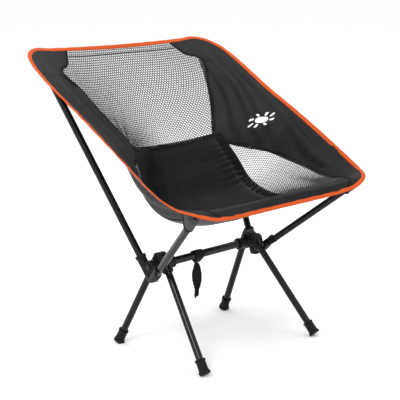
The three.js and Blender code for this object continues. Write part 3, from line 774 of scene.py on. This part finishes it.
def panel(inner, outer, rows, cols, lift=0.0):
    """Cloth ruled between two edges in u and v, standing folds() off the sling's surface."""
    t, s = np.linspace(0, 1, rows + 1), np.linspace(0, 1, cols + 1)[None, :, None]
    a, b = smooth_line(inner, t)[:, None], smooth_line(outer, t)[:, None]
    uv = a * (1 - s) + b * s
    u, v = uv[..., 0], uv[..., 1]
    place, n = sling(u, v), normal(u, v)
    height = (lift + folds(u, v))[..., None]
    lay = np.stack([u * ACROSS, v * ALONG], -1)
    half = CLOTH / 2
    return slab(place + n * (height + half), place + n * (height - half), lay)


def both_ways(edge):
    return [[-u, v] for u, v in edge]


SEAM_LOW = [[0.802, 0.150], [0.818, 0.39], [0.755, 0.556], [0.63, 0.66], [0.505, 0.735]]
SEAM_UP = [[0.503, 0.745], [0.565, 0.866], [0.665, 0.919], [0.737, 0.946]]
SEAT_EDGE = [[0.5, 0.13], [0.5, 0.3], [0.5, 0.55], [0.5, 0.742]]
PATCH_REAR = [[0.737, 0.946], [0.70, 0.958], [0.62, 0.968], [0.55, 0.997]]
PATCH_FRONT = [[0.702, 0.006], [0.72, 0.03], [0.75, 0.065], [0.78, 0.11], [0.803, 0.158]]

seat_edge = [[0.52, 0.13], [0.52, 0.3], [0.52, 0.55], [0.512, 0.748]]
seat = panel(both_ways(seat_edge), seat_edge, 150, 90)
seat_piece = mesh_piece("seat_cloth", *seat, ripstop, "seat_frame", "ripstop", ["seat_panel"])

band_edge = [[0.7, 0.0], [0.722, 0.03], [0.754, 0.075], [0.806, 0.142]]
band = panel(both_ways(band_edge), band_edge, 24, 160, 0.3 * MM)
band_piece = mesh_piece("front_hem", *band, ripstop, "seat_frame", "ripstop", ["front_band"])

side_inner = SEAM_LOW[:-1] + [[0.506, 0.738], [0.506, 0.75]] + SEAM_UP[1:]
side_outer = [[0.990, 0.27], [0.992, 0.4], [0.993, 0.53], [0.993, 0.64], [0.993, 0.72],
              [0.994, 0.77], [1.012, 0.84], [1.038, 0.89], [1.047, 0.925]]
side_shape = panel(side_inner, side_outer, 150, 80)
patch_front = panel(
    [[0.69, 0.0], [0.714, 0.03], [0.745, 0.065], [0.778, 0.11], [0.803, 0.16]],
    [[0.76, 0.003], [0.862, 0.040], [0.925, 0.088], [0.97, 0.15], [0.99, 0.30]], 40, 36,
    0.35 * MM)
patch_rear = panel(
    [[0.742, 0.945], [0.70, 0.958], [0.62, 0.968], [0.545, 1.0]],
    [[1.047, 0.92], [1.032, 0.952], [0.98, 0.978], [0.87, 0.996]], 40, 40, 0.35 * MM)
for name, shape, size, old in (
        ("side_cloth", side_shape, (0.24, 0.52), "side_panel_SIDE"),
        ("front_corner", patch_front, (0.08, 0.09), "corner_patch_front_SIDE"),
        ("rear_corner", patch_rear, (0.13, 0.11), "corner_patch_rear_SIDE")):
    for side, made in pair(name, shape, ripstop, "seat_frame", "ripstop", [old]).items():
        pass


# ---- sling: net ---------------------------------------------------------------------------
def within(u, v, outline):
    """Whether points lie inside an outline, by counting the edges crossed to one side."""
    inside = np.zeros(u.shape, bool)
    p = np.array(outline, float)
    for (ua, va), (ub, vb) in zip(p, np.roll(p, -1, 0)):
        if va != vb:
            inside ^= ((va > v) != (vb > v)) & (u < (ub - ua) * (v - va) / (vb - va) + ua)
    return inside


def net_wave(u, v):
    """Fine puckers that fan out from the lower corners of the back, and the seam's gathers."""
    a = np.abs(u)
    x, y = (a - 0.5) * ACROSS, (v - 0.742) * ALONG
    far = np.hypot(x, y)
    fan = np.arctan2(y, 0.03 - x)
    ripple = np.sin(17 * fan + 1.5 * np.sin(6 * fan)) * np.clip(far / 0.03, 0, 1)
    return 1.3 * MM * ripple * np.exp(-far / 0.07) * (v > 0.742) + 0.5 * folds(u, v)


def net(outline, pitch, open_share, thick):
    """Hexagons edge to edge, each with a hexagonal hole: a closed sheet with real openings.
    Corners shared by neighbours are one point; an outer edge used once gets a wall."""
    outline = np.array(outline, float)
    low, high = outline.min(0), outline.max(0)
    step = np.array([pitch / ACROSS, pitch * math.sqrt(3) / 2 / ALONG])
    i, j = np.meshgrid(np.arange(math.floor(low[0] / step[0]) - 1, high[0] / step[0] + 2),
                       np.arange(math.floor(low[1] / step[1]) - 1, high[1] / step[1] + 2))
    u, v = (i + 0.5 * (j % 2)) * step[0], j * step[1]
    keep = within(u, v, outline)
    centre = np.stack([u[keep], v[keep]], -1)
    angle = np.radians(30 + 60 * np.arange(6))
    arm = np.stack([np.cos(angle) / ACROSS, np.sin(angle) / ALONG], -1) * pitch / math.sqrt(3)
    corner = centre[:, None] + arm
    key = np.round(corner / step / 0.05).astype(int).reshape(-1, 2)
    _, first, back = np.unique(key, axis=0, return_index=True, return_inverse=True)
    back = back.reshape(-1, 6)
    shared = corner.reshape(-1, 2)[first]
    hole = centre[:, None] + arm * open_share
    flat = np.vstack([shared, hole.reshape(-1, 2)])
    n, m = len(flat), len(shared)
    place, up = sling(flat[:, 0], flat[:, 1]), normal(flat[:, 0], flat[:, 1])
    lift = net_wave(flat[:, 0], flat[:, 1])[:, None]
    points = np.vstack([place + up * (lift + thick / 2), place + up * (lift - thick / 2)])
    rim_a, rim_b = back, np.roll(back, -1, 1)
    own = m + np.arange(len(centre) * 6).reshape(-1, 6)
    own_b = np.roll(own, -1, 1)
    top = np.stack([rim_a, rim_b, own_b, own], -1).reshape(-1, 4)
    wall = np.stack([own, own_b, own_b + n, own + n], -1).reshape(-1, 4)
    edge = np.stack([rim_a, rim_b], -1).reshape(-1, 2)
    _, where, count = np.unique(np.sort(edge, 1), axis=0, return_index=True,
                                return_counts=True)
    lone = edge[where[count == 1]]
    border = np.stack([lone[:, 1], lone[:, 0], lone[:, 0] + n, lone[:, 1] + n], -1)
    faces = np.vstack([top, top[:, ::-1] + n, wall, border])
    lay = np.vstack([flat, flat]) * [ACROSS, ALONG]
    cell = place[back]
    area = np.linalg.norm(np.cross(cell, np.roll(cell, -1, 1)).sum(1), axis=1).sum() / 2
    return (points, faces, lay), float(area)


many = np.linspace(0, 1, 30)
up_line, low_line, seat_line, rear_line, front_line = (
    smooth_line(edge, many) for edge in (SEAM_UP, SEAM_LOW, SEAT_EDGE, PATCH_REAR, PATCH_FRONT))
half = np.vstack([[[0, 0.742]], up_line, rear_line, [[0, 0.997]]])
back_outline = np.vstack([half, half[::-1] * [-1, 1]])
back_net, back_area = net(back_outline, NET_PITCH, NET_OPEN, NET_THICK)
back_piece = mesh_piece("back_net", *back_net, netting, "seat_frame", "netting", ["back_mesh"],
                        sharp=60)
side_outline = np.vstack([low_line, seat_line[::-1], [[0.65, 0.135]]])
side_net, side_area = net(side_outline, NET_PITCH, NET_OPEN, NET_THICK)
side_pieces = pair("side_net", side_net, netting, "seat_frame", "netting", ["side_mesh_SIDE"],
                   60)


# ---- sling: seams, edge tape, stitches ----------------------------------------------------
def spaced(line, gap):
    """u, v points along a line at even distances over the cloth, and the line's length."""
    dense = np.array(line, float)
    t = np.linspace(0, len(dense) - 1, 40 * len(dense))
    dense = np.stack([np.interp(t, np.arange(len(dense)), dense[:, k]) for k in (0, 1)], -1)
    p = sling(dense[:, 0], dense[:, 1])
    run = np.concatenate([[0], np.cumsum(np.linalg.norm(np.diff(p, axis=0), axis=1))])
    at = np.linspace(0, run[-1], max(4, int(run[-1] / gap)))
    return np.stack([np.interp(at, run, dense[:, k]) for k in (0, 1)], -1), float(run[-1])


def strip(line, width, thick):
    """A flat tape along a line on the sling, thinner towards both edges, with small gathers."""
    uv, length = spaced(line, 2.2 * MM)
    p, n = sling(uv[:, 0], uv[:, 1]), normal(uv[:, 0], uv[:, 1])
    side = unit(np.cross(np.gradient(p, axis=0), n))
    s = np.linspace(-1, 1, 11)
    far = np.arange(len(p))[:, None] * 2.2 * MM
    wave = 0.032 * width * (0.6 + 0.4 * np.sin(far / (31 * MM))) * np.sin(
        far / (1.8 * MM) + 2.6 * np.sin(far / (13 * MM)) + s[None] * 0.9)
    across = p[:, None] + side[:, None] * (s * width / 2)[None, :, None]
    half = (thick / 2 * (1 - 0.75 * s**4))[None, :] * np.ones((len(p), 1))
    base = folds(uv[:, 0], uv[:, 1])[:, None] * 0.6 + wave * (1 - s**2)[None]
    lay = np.stack(np.broadcast_arrays((s * width / 2)[None], np.linspace(
        0, length, len(p))[:, None]), -1)
    top = across + n[:, None] * (base + half)[..., None]
    bottom = across + n[:, None] * (base - half)[..., None]
    return slab(top, bottom, lay)


THREAD_R = 0.32 * MM  # half a stitch's thickness


def stitch_run(p, n, along, length, r=THREAD_R):
    """Short rounded stitches, sunk a little at their ends: each a five-ringed capsule."""
    rings = np.array([[-0.5, 0.15], [-0.36, 0.8], [0, 1.0], [0.36, 0.8], [0.5, 0.15]])
    sides = 5
    angle = 2 * np.pi * np.arange(sides) / sides
    side = np.cross(along, n)
    ring = (np.cos(angle)[None, :, None] * side[:, None]
            + np.sin(angle)[None, :, None] * n[:, None])
    s = rings[:, 0] * length
    sink = -(np.abs(rings[:, 0]) * 2) ** 3 * 0.7 * r
    points = (p[:, None, None] + along[:, None, None] * s[None, :, None, None]
              + n[:, None, None] * sink[None, :, None, None]
              + ring[:, None] * (rings[:, 1] * r)[None, :, None, None])
    tube = grid_faces(len(rings), sides, wrap_cols=True)
    last = (len(rings) - 1) * sides
    lids = np.array([[0, 1, 2, 3], [0, 3, 4, 4], [last, last + 3, last + 2, last + 1],
                     [last, last + 4, last + 4, last + 3]])
    one = np.vstack([tube, lids])
    size = len(rings) * sides
    faces = (one[None] + (np.arange(len(p)) * size)[:, None, None]).reshape(-1, 4)
    return points.reshape(-1, 3), faces


def line_stitches(line, offset, lift, pitch=3.4 * MM):
    """Stitches beside a line on the sling, on the sat-on side and underneath."""
    uv = spaced(line, pitch)[0]
    p, n = sling(uv[:, 0], uv[:, 1]), normal(uv[:, 0], uv[:, 1])
    along = unit(np.gradient(p, axis=0))
    side = unit(np.cross(along, n))
    n = unit(np.cross(side, along))
    base = folds(uv[:, 0], uv[:, 1])[:, None] * 0.6
    return [stitch_run(p + side * offset + n * (base + sign * lift), sign * n, along,
                       0.72 * pitch) for sign in (1, -1)]


def stitch_shape(sets):
    """All the stitches of one thread as one shape, with a map along each."""
    points, faces, base = [], [], 0
    for p, f in sets:
        points.append(p)
        faces.append(f + base)
        base += len(p)
    points, faces = np.vstack(points), np.vstack(faces)
    return points, faces, points[:, :2] * 1.0


def tri_piece(name, shape, finish, body):
    """As mesh_piece, for a shape whose lids have triangles written as a quad that repeats a
    corner."""
    points, faces, lay = shape
    faces = [list(dict.fromkeys(f)) for f in faces.tolist()]
    mesh = bpy.data.meshes.new(name)
    mesh.from_pydata(points.tolist(), [], faces)
    layer = mesh.uv_layers.new(name="lay")
    index = np.zeros(len(mesh.loops), np.int32)
    mesh.loops.foreach_get("vertex_index", index)
    layer.uv.foreach_set("vector", lay[index].ravel())
    weld = bmesh.new()
    weld.from_mesh(mesh)
    bmesh.ops.recalc_face_normals(weld, faces=weld.faces)
    weld.to_mesh(mesh)
    weld.free()
    return settle(bpy.data.objects.new(name, mesh), finish, body, (), 50)


# Each seam's line, its tape's width, and the panel that it is counted with.
seam_runs = {
    "seam_upper": (up_line, 11 * MM, "side_cloth_SIDE"),
    "seam_lower": (low_line, 11 * MM, "side_cloth_SIDE"),
    "seam_seat": (smooth_line([[0.53, 0.135], [0.535, 0.3], [0.535, 0.55], [0.525, 0.745]],
                              many), 22 * MM, "side_net_SIDE"),
    "seam_rear_corner": (rear_line, 8 * MM, "rear_corner_SIDE"),
    "seam_front_corner": (front_line, 8 * MM, "front_corner_SIDE"),
}
stitching, sewn_on = [], {}
for name, (line, width, onto) in seam_runs.items():
    shape = strip(line, width, 2.0 * MM)
    for side, made in pair(name, shape, hem_cloth, "seat_frame", "ripstop").items():
        sewn_on.setdefault(onto.replace("SIDE", side), []).append(made)
    for offset in (-0.33 * width, 0.33 * width):
        stitching += line_stitches(line, offset, 0.9 * MM)
for name, line, width in (
        ("seam_back_low", np.stack([np.linspace(-0.5, 0.5, 40), np.full(40, 0.743)], -1),
         12 * MM),
        ("seam_front_low", np.stack([np.linspace(-0.8, 0.8, 60), np.full(60, 0.137)], -1),
         9 * MM),
        ("hem_back_top", np.stack([np.linspace(-0.57, 0.57, 40), np.full(40, 0.985)], -1),
         2.4 * MM)):
    shape = strip(line, width, 1.8 * MM if width > 5 * MM else 1.1 * MM)
    made = mesh_piece(name, *shape, hem_cloth, "seat_frame", "ripstop")
    sewn_on.setdefault("back_net" if "back" in name else "front_hem", []).append(made)
    if width > 5 * MM:
        half_line = line[len(line) // 2:]
        for offset in (-0.33 * width, 0.33 * width):
            stitching += line_stitches(half_line, offset, 0.8 * MM)
points, faces, lay = stitch_shape(stitching)
for side, sign in SIDES.items():
    made = tri_piece(f"seam_stitches_{side}", (points * [sign, 1, 1], faces, lay),
                     thread_black, "seat_frame")
    sewn_on[f"side_cloth_{side}"].append(made)

# The rim's outline in u and v: near-straight sides, cut-back front corners and rear corners
# that stand out as rounded ears.
OUTLINE = [
    [0, 0], [0.5, 0], [0.7, 0], [0.8, 0.01], [0.87, 0.042], [0.93, 0.09], [0.967, 0.135],
    [0.985, 0.19], [0.995, 0.3], [0.995, 0.5], [0.995, 0.7], [0.998, 0.8], [1.03, 0.87],
    [1.05, 0.915], [1.04, 0.95], [0.995, 0.975], [0.93, 0.99], [0.85, 0.998], [0.7, 1], [0, 1],
]
outline = np.array(OUTLINE + [[-u, v] for u, v in OUTLINE[-2:0:-1]])
rim_points = sling(outline[:, 0], outline[:, 1])
rim_normals = normal(outline[:, 0], outline[:, 1])


def closed_curve(points, others, per):
    """A closed curve through points, each stretch a cubic that allows for the points' uneven
    spacing by the square root of their distances. others is carried along with it."""
    out, carried = [], []
    f = (np.arange(per) / per)[:, None]
    for i in range(len(points)):
        p = [points[(i + k) % len(points)] for k in (-1, 0, 1, 2)]
        q = [others[(i + k) % len(points)] for k in (-1, 0, 1, 2)]
        d = [math.sqrt(np.linalg.norm(p[k + 1] - p[k])) for k in range(3)]
        for values, into in ((p, out), (q, carried)):
            m1 = ((values[1] - values[0]) / d[0] - (values[2] - values[0]) / (d[0] + d[1])
                  + (values[2] - values[1]) / d[1]) * d[1]
            m2 = ((values[2] - values[1]) / d[1] - (values[3] - values[1]) / (d[1] + d[2])
                  + (values[3] - values[2]) / d[2]) * d[1]
            into.append(values[1] + m1 * f + (3 * (values[2] - values[1]) - 2 * m1 - m2) * f**2
                        + (2 * (values[1] - values[2]) + m1 + m2) * f**3)
    return np.vstack(out), np.vstack(carried)


rim, rim_up = closed_curve(rim_points, rim_normals, 60)
run = np.concatenate([[0], np.cumsum(np.linalg.norm(np.diff(
    np.vstack([rim, rim[:1]]), axis=0), axis=1))])
RIM_LENGTH = float(run[-1])
steps = 760
at = np.arange(steps) / steps * RIM_LENGTH
rim, rim_up = (np.stack([np.interp(at, run, np.append(c[:, k], c[0, k])) for k in range(3)], -1)
               for c in (rim, rim_up))
rim_along = unit(np.roll(rim, -1, 0) - np.roll(rim, 1, 0))
rim_out = unit(np.cross(rim_along, rim_up))
rim_up = unit(np.cross(rim_out, rim_along))
TAPE_IN, TAPE_OUT = 4.9 * MM, 5.4 * MM
angle = 2 * np.pi * np.arange(18) / 18
half_width = (TAPE_IN + TAPE_OUT) / 2
thick = 1.45 * MM * (1 + 0.1 * np.sin(at / (4.1 * MM)) + 0.06 * np.sin(at / (1.7 * MM) + 1))
out = (TAPE_OUT - TAPE_IN) / 2 + half_width * np.sign(np.cos(angle)) * np.abs(
    np.cos(angle)) ** 0.8
rise = np.sign(np.sin(angle)) * np.abs(np.sin(angle)) ** 0.7
ripple = 0.3 * MM * np.sin(at / (7.3 * MM))[:, None]
points = (rim[:, None] + rim_out[:, None] * out[None, :, None]
          + rim_up[:, None] * (thick[:, None] * rise[None] + ripple)[..., None])
faces = grid_faces(steps, 18, wrap_rows=True, wrap_cols=True)
around, far = np.arange(19) / 18 * 24 * MM, np.arange(steps + 1) / steps * RIM_LENGTH
lay = corner_map(around, far, len(faces), 18)
tape = mesh_piece("edge_tape", points, faces, lay, orange, "seat_frame", "orange",
                  ["edge_binding"], sharp=60)

count = int(RIM_LENGTH / (3.3 * MM))  # one stitch each 3.3 mm
pick = (np.arange(count) * steps / count).astype(int)
sets = []
for sign in (1, -1):
    seat_at = (rim[pick] - rim_out[pick] * 3.1 * MM
               + sign * rim_up[pick] * (0.87 * thick[pick])[:, None]
               + rim_up[pick] * ripple[pick])
    sets.append(stitch_run(seat_at, sign * rim_up[pick], rim_along[pick], 2.4 * MM))
made = tri_piece("edge_stitches", stitch_shape(sets), thread_orange, "seat_frame")

# ---- sling: pole pockets ------------------------------------------------------------------
POCKET = 34 * MM
for end, (u0, v0) in tip_at.items():
    tip = sling(u0, v0) - TIP_UNDER_SHEET * normal(u0, v0)
    up = pole_up[end]
    rows, cols = 36, 41
    b = np.linspace(0, 1, rows)[:, None]
    s = np.linspace(-1, 1, cols)[None, :]
    # b runs from past the pole's tip back to the mouth; s from one sewn edge to the other.
    back = -POCKET * b + 5.5 * MM * (1 - b) ** 2
    sheet_up = normal(u0, v0)
    level = unit(np.cross(up, sheet_up))
    down = unit(np.cross(up, level))
    down = down if np.dot(down, sheet_up) < 0 else -down
    r = (TUBE_R + 2.2 * MM) * (0.2 + 0.8 * np.sqrt(np.clip(b / 0.2, 0, 1)))
    bend = np.clip(np.abs(s) / 0.5, 0, 1) * np.pi / 2
    wide = r * np.sin(bend)
    deep = r * np.cos(bend)
    centre = tip + up * back[..., None]
    hug = (centre + level * (np.sign(s) * wide)[..., None] + down * deep[..., None])
    out = np.clip((np.abs(s) - 0.5) / 0.5, 0, 1)
    foot_line = centre + level * (np.sign(s) * (r + (8 * MM) * (0.4 + 0.6 * b)))[..., None]
    pu, pv = nearest(foot_line.reshape(-1, 3), np.full(rows * cols, u0),
                     np.full(rows * cols, v0))
    sewn = (sling(pu, pv) - normal(pu, pv) * 1.2 * MM).reshape(rows, cols, 3)
    ease = (out**0.85)[..., None]
    place = hug * (1 - ease) + sewn * ease
    d_row, d_col = np.gradient(place, axis=0), np.gradient(place, axis=1)
    n = unit(np.cross(d_row, d_col))
    lay = np.stack([np.broadcast_to(s * 30 * MM, (rows, cols)),
                    np.broadcast_to(b * POCKET, (rows, cols))], -1)
    shape = slab(place + n * 0.45 * MM, place - n * 0.45 * MM, lay)
    pockets = pair(f"pole_pocket_{end}", shape, grey_cloth, "seat_frame", "grey_cloth",
                   [f"pocket_{end}_SIDE"])
    mouth, mn = place[-1], n[-1]
    go = unit(np.gradient(mouth, axis=0))
    side = np.cross(go, mn)
    ring = 2 * np.pi * np.arange(12) / 12
    oval = (mouth[:, None] + side[:, None] * (4.2 * MM * np.cos(ring))[None, :, None]
            + mn[:, None] * (1.1 * MM * np.sin(ring))[None, :, None])
    shape = (oval.reshape(-1, 3), grid_faces(cols, 12, wrap_cols=True), np.stack(
        [np.tile(ring * 3 * MM, cols), np.repeat(np.linspace(0, 0.08, cols), 12)], -1))
    lids = np.array([[0, 11, 10, 9], [0, 9, 8, 7], [0, 7, 6, 5], [0, 5, 4, 3], [0, 3, 2, 1]])
    lids = np.vstack([lids, lids[:, ::-1] + (cols - 1) * 12])
    shape = (shape[0], np.vstack([shape[1], lids]), shape[2])
    bindings = pair(f"pocket_binding_{end}", shape, black_tape, "seat_frame", "grey_cloth")
    for side in SIDES:
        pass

# ---- print on the right side panel: a plain sun, a disc with eight short rays ---------------
PRINT_AT = (0.81, 0.73)


def print_patch(radii, turns, steps=10):
    """A patch of ink on the cloth between two radii and two angles, a hair above the weave."""
    r, a = np.meshgrid(np.linspace(*radii, 5), np.linspace(*turns, steps + 1))
    u = PRINT_AT[0] + r * np.cos(a) / ACROSS
    v = PRINT_AT[1] + r * np.sin(a) / ALONG
    place, n, lift = sling(u, v), normal(u, v), folds(u, v)[..., None] + CLOTH / 2
    lay = np.stack([u * ACROSS, v * ALONG], -1)
    return slab(place + n * (lift + 0.2 * MM), place + n * (lift - 0.2 * MM), lay)


rays = [print_patch((17.5 * MM, 27 * MM), (k - 0.12, k + 0.12), 3)
        for k in np.arange(8) * math.pi / 4]
sun = joined(print_patch((0.4 * MM, 13 * MM), (0, 2 * math.pi - 0.01), 40), *rays)
mesh_piece("print_sun", *sun, ink, "seat_frame", "ripstop")

# ---- strap on the crossbar ----------------------------------------------------------------
loop_low, loop_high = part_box("strap_loop")
tail_low, tail_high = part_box("strap_tail")
strap_x = (loop_low[0] + loop_high[0]) / 2
# Once round the bar: an oval ring of webbing that pinches together under it.
cols, rows = 13, 96
a = (np.arange(rows) / rows * 2 * np.pi)[:, None]
s = np.linspace(-1, 1, cols)[None, :]
under = np.clip(-np.cos(a), 0, 1) ** 6
radius = 10.4 * MM + 0.25 * MM * np.sin(5 * a + 3 * s)
width = 12.3 * MM * (1 - 0.28 * under)
drop = under * 6.5 * MM
pinch = 1 - 0.72 * under
points = [np.stack([
    strap_x + s * width + 0 * a,
    HUB[1] + np.sin(a) * (radius + k) * pinch + 0 * s,
    HUB[2] + np.cos(a) * (radius + k) - drop + 0 * s], -1) for k in (0.0, 1.5 * MM)]
shell = np.concatenate([points[1], points[0][:, ::-1]], 1)
faces = grid_faces(rows, 2 * cols, wrap_rows=True, wrap_cols=True)
lay = np.stack(np.broadcast_arrays(
    np.concatenate([s, s[:, ::-1]], 1) * width.mean(), a * 11 * MM), -1).reshape(-1, 2)
loop_piece = mesh_piece("strap_ring", shell, faces, lay, webbing, "strap_loop", "webbing",
                        ["strap_loop"])

# The tail: a strip whose cross-section curls where it is pinched or twisted.
rows, cols = 90, 17
s = np.linspace(-1, 1, cols)[None, :]
top_z, end_z = float(tail_high[2]) + 1.0 * MM, float(tail_low[2])
b = np.linspace(0, 1, rows)[:, None]
stops = [0, 0.1, 0.3, 0.5, 0.68, 0.78, 0.88, 1.0]
chord = np.interp(b[:, 0], stops,
                  [9, 15, 22, 21.5, 14, 9, 11.5, 13])[:, None] * MM
curl = np.interp(b[:, 0], stops,
                 [2.2, 1.5, 0.7, 0.8, 1.6, 2.2, 1.9, 1.7])[:, None]
facing = np.interp(b[:, 0], [0, 0.25, 0.6, 0.8, 1.0], [-0.3, -0.75, -0.9, -0.2, 0.5])[:, None]
bow = chord / 2 / np.sin(np.minimum(curl, np.pi / 2))
across = bow * np.sin(s * curl)
depth = bow * (np.cos(s * curl) - np.cos(curl)) * 0.8
sway = 2.2 * MM * np.sin(b * 5.0)
x = strap_x + across * np.cos(facing) - depth * np.sin(facing) + sway * 0.6
y = HUB[1] + across * np.sin(facing) + depth * np.cos(facing) + sway
z = top_z + (end_z - top_z) * b + 1.5 * MM * s * np.clip(b - 0.75, 0, 1)
place = np.stack([x, y, np.maximum(z + 0 * s, end_z)], -1)
n = unit(np.cross(np.gradient(place, axis=0), np.gradient(place, axis=1)))
lay = np.stack(np.broadcast_arrays(s * 12.5 * MM, b * (top_z - end_z)), -1)
tail_shape = slab(place + n * 0.75 * MM, place - n * 0.75 * MM, lay)
tail_piece = mesh_piece("strap_end", *tail_shape, webbing, None, "webbing", ["strap_tail"])
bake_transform(tail_piece)

# ---- room, light, camera ------------------------------------------------------------------
floor_mesh = bpy.data.meshes.new("studio_floor")
FLOOR = 30  # metres from the middle to each side
floor_mesh.from_pydata([(-FLOOR, -FLOOR, 0), (FLOOR, -FLOOR, 0), (FLOOR, FLOOR, 0),
                        (-FLOOR, FLOOR, 0)], [], [(0, 1, 2, 3)])
floor = bpy.data.objects.new("studio_floor", floor_mesh)
bpy.context.scene.collection.objects.link(floor)
floor_mesh.materials.append(material("studio_paper_white", Base_Color=srgb("FBFBFB"),
                                     Roughness=0.9)[0])

world = bpy.data.worlds.new("studio")
bpy.context.scene.world = world
world.use_nodes = True
world.node_tree.nodes["Background"].inputs["Color"].default_value = (1, 1, 1, 1)
world.node_tree.nodes["Background"].inputs["Strength"].default_value = 1.03


def softbox(name, place, target, size, power):
    """A square area light that faces a point."""
    light = bpy.data.lights.new(name, "AREA")
    light.size, light.energy = size, power
    piece = bpy.data.objects.new(name, light)
    bpy.context.scene.collection.objects.link(piece)
    d = unit(np.array(target) - np.array(place))
    piece.location = place
    piece.rotation_euler = Vector(d.tolist()).to_track_quat("-Z", "Y").to_euler()
    return piece


softbox("key_light", (-2.6, -1.2, 2.6), (0, 0, 0.35), 1.2, 70)
softbox("fill_light", (1.6, -2.8, 1.6), (0, 0, 0.35), 1.8, 14)
softbox("top_light", (0.3, 0.6, 3.2), (0, 0, 0.3), 1.6, 45)

azimuth, elevation, distance = math.radians(-44.53), math.radians(12.77), 2.514
aim = np.array([-19.5 * MM, HUB[1], 329.6 * MM])
back = np.array([math.sin(azimuth) * math.cos(elevation),
                 -math.cos(azimuth) * math.cos(elevation), math.sin(elevation)])
lens = bpy.data.cameras.new("camera")
lens.lens, lens.sensor_width, lens.clip_end = 99.95, 36, 100
camera = bpy.data.objects.new("camera", lens)
bpy.context.scene.collection.objects.link(camera)
right_hand = np.array([math.cos(azimuth), math.sin(azimuth), 0])
upward = np.cross(back, right_hand)
place = aim + back * distance
camera.matrix_world = Matrix([[*row, p] for row, p in zip(
    np.stack([right_hand, upward, back], 1).tolist(), place.tolist())] + [[0, 0, 0, 1]])
bpy.context.scene.camera = camera
bpy.context.scene.view_settings.view_transform = "Standard"
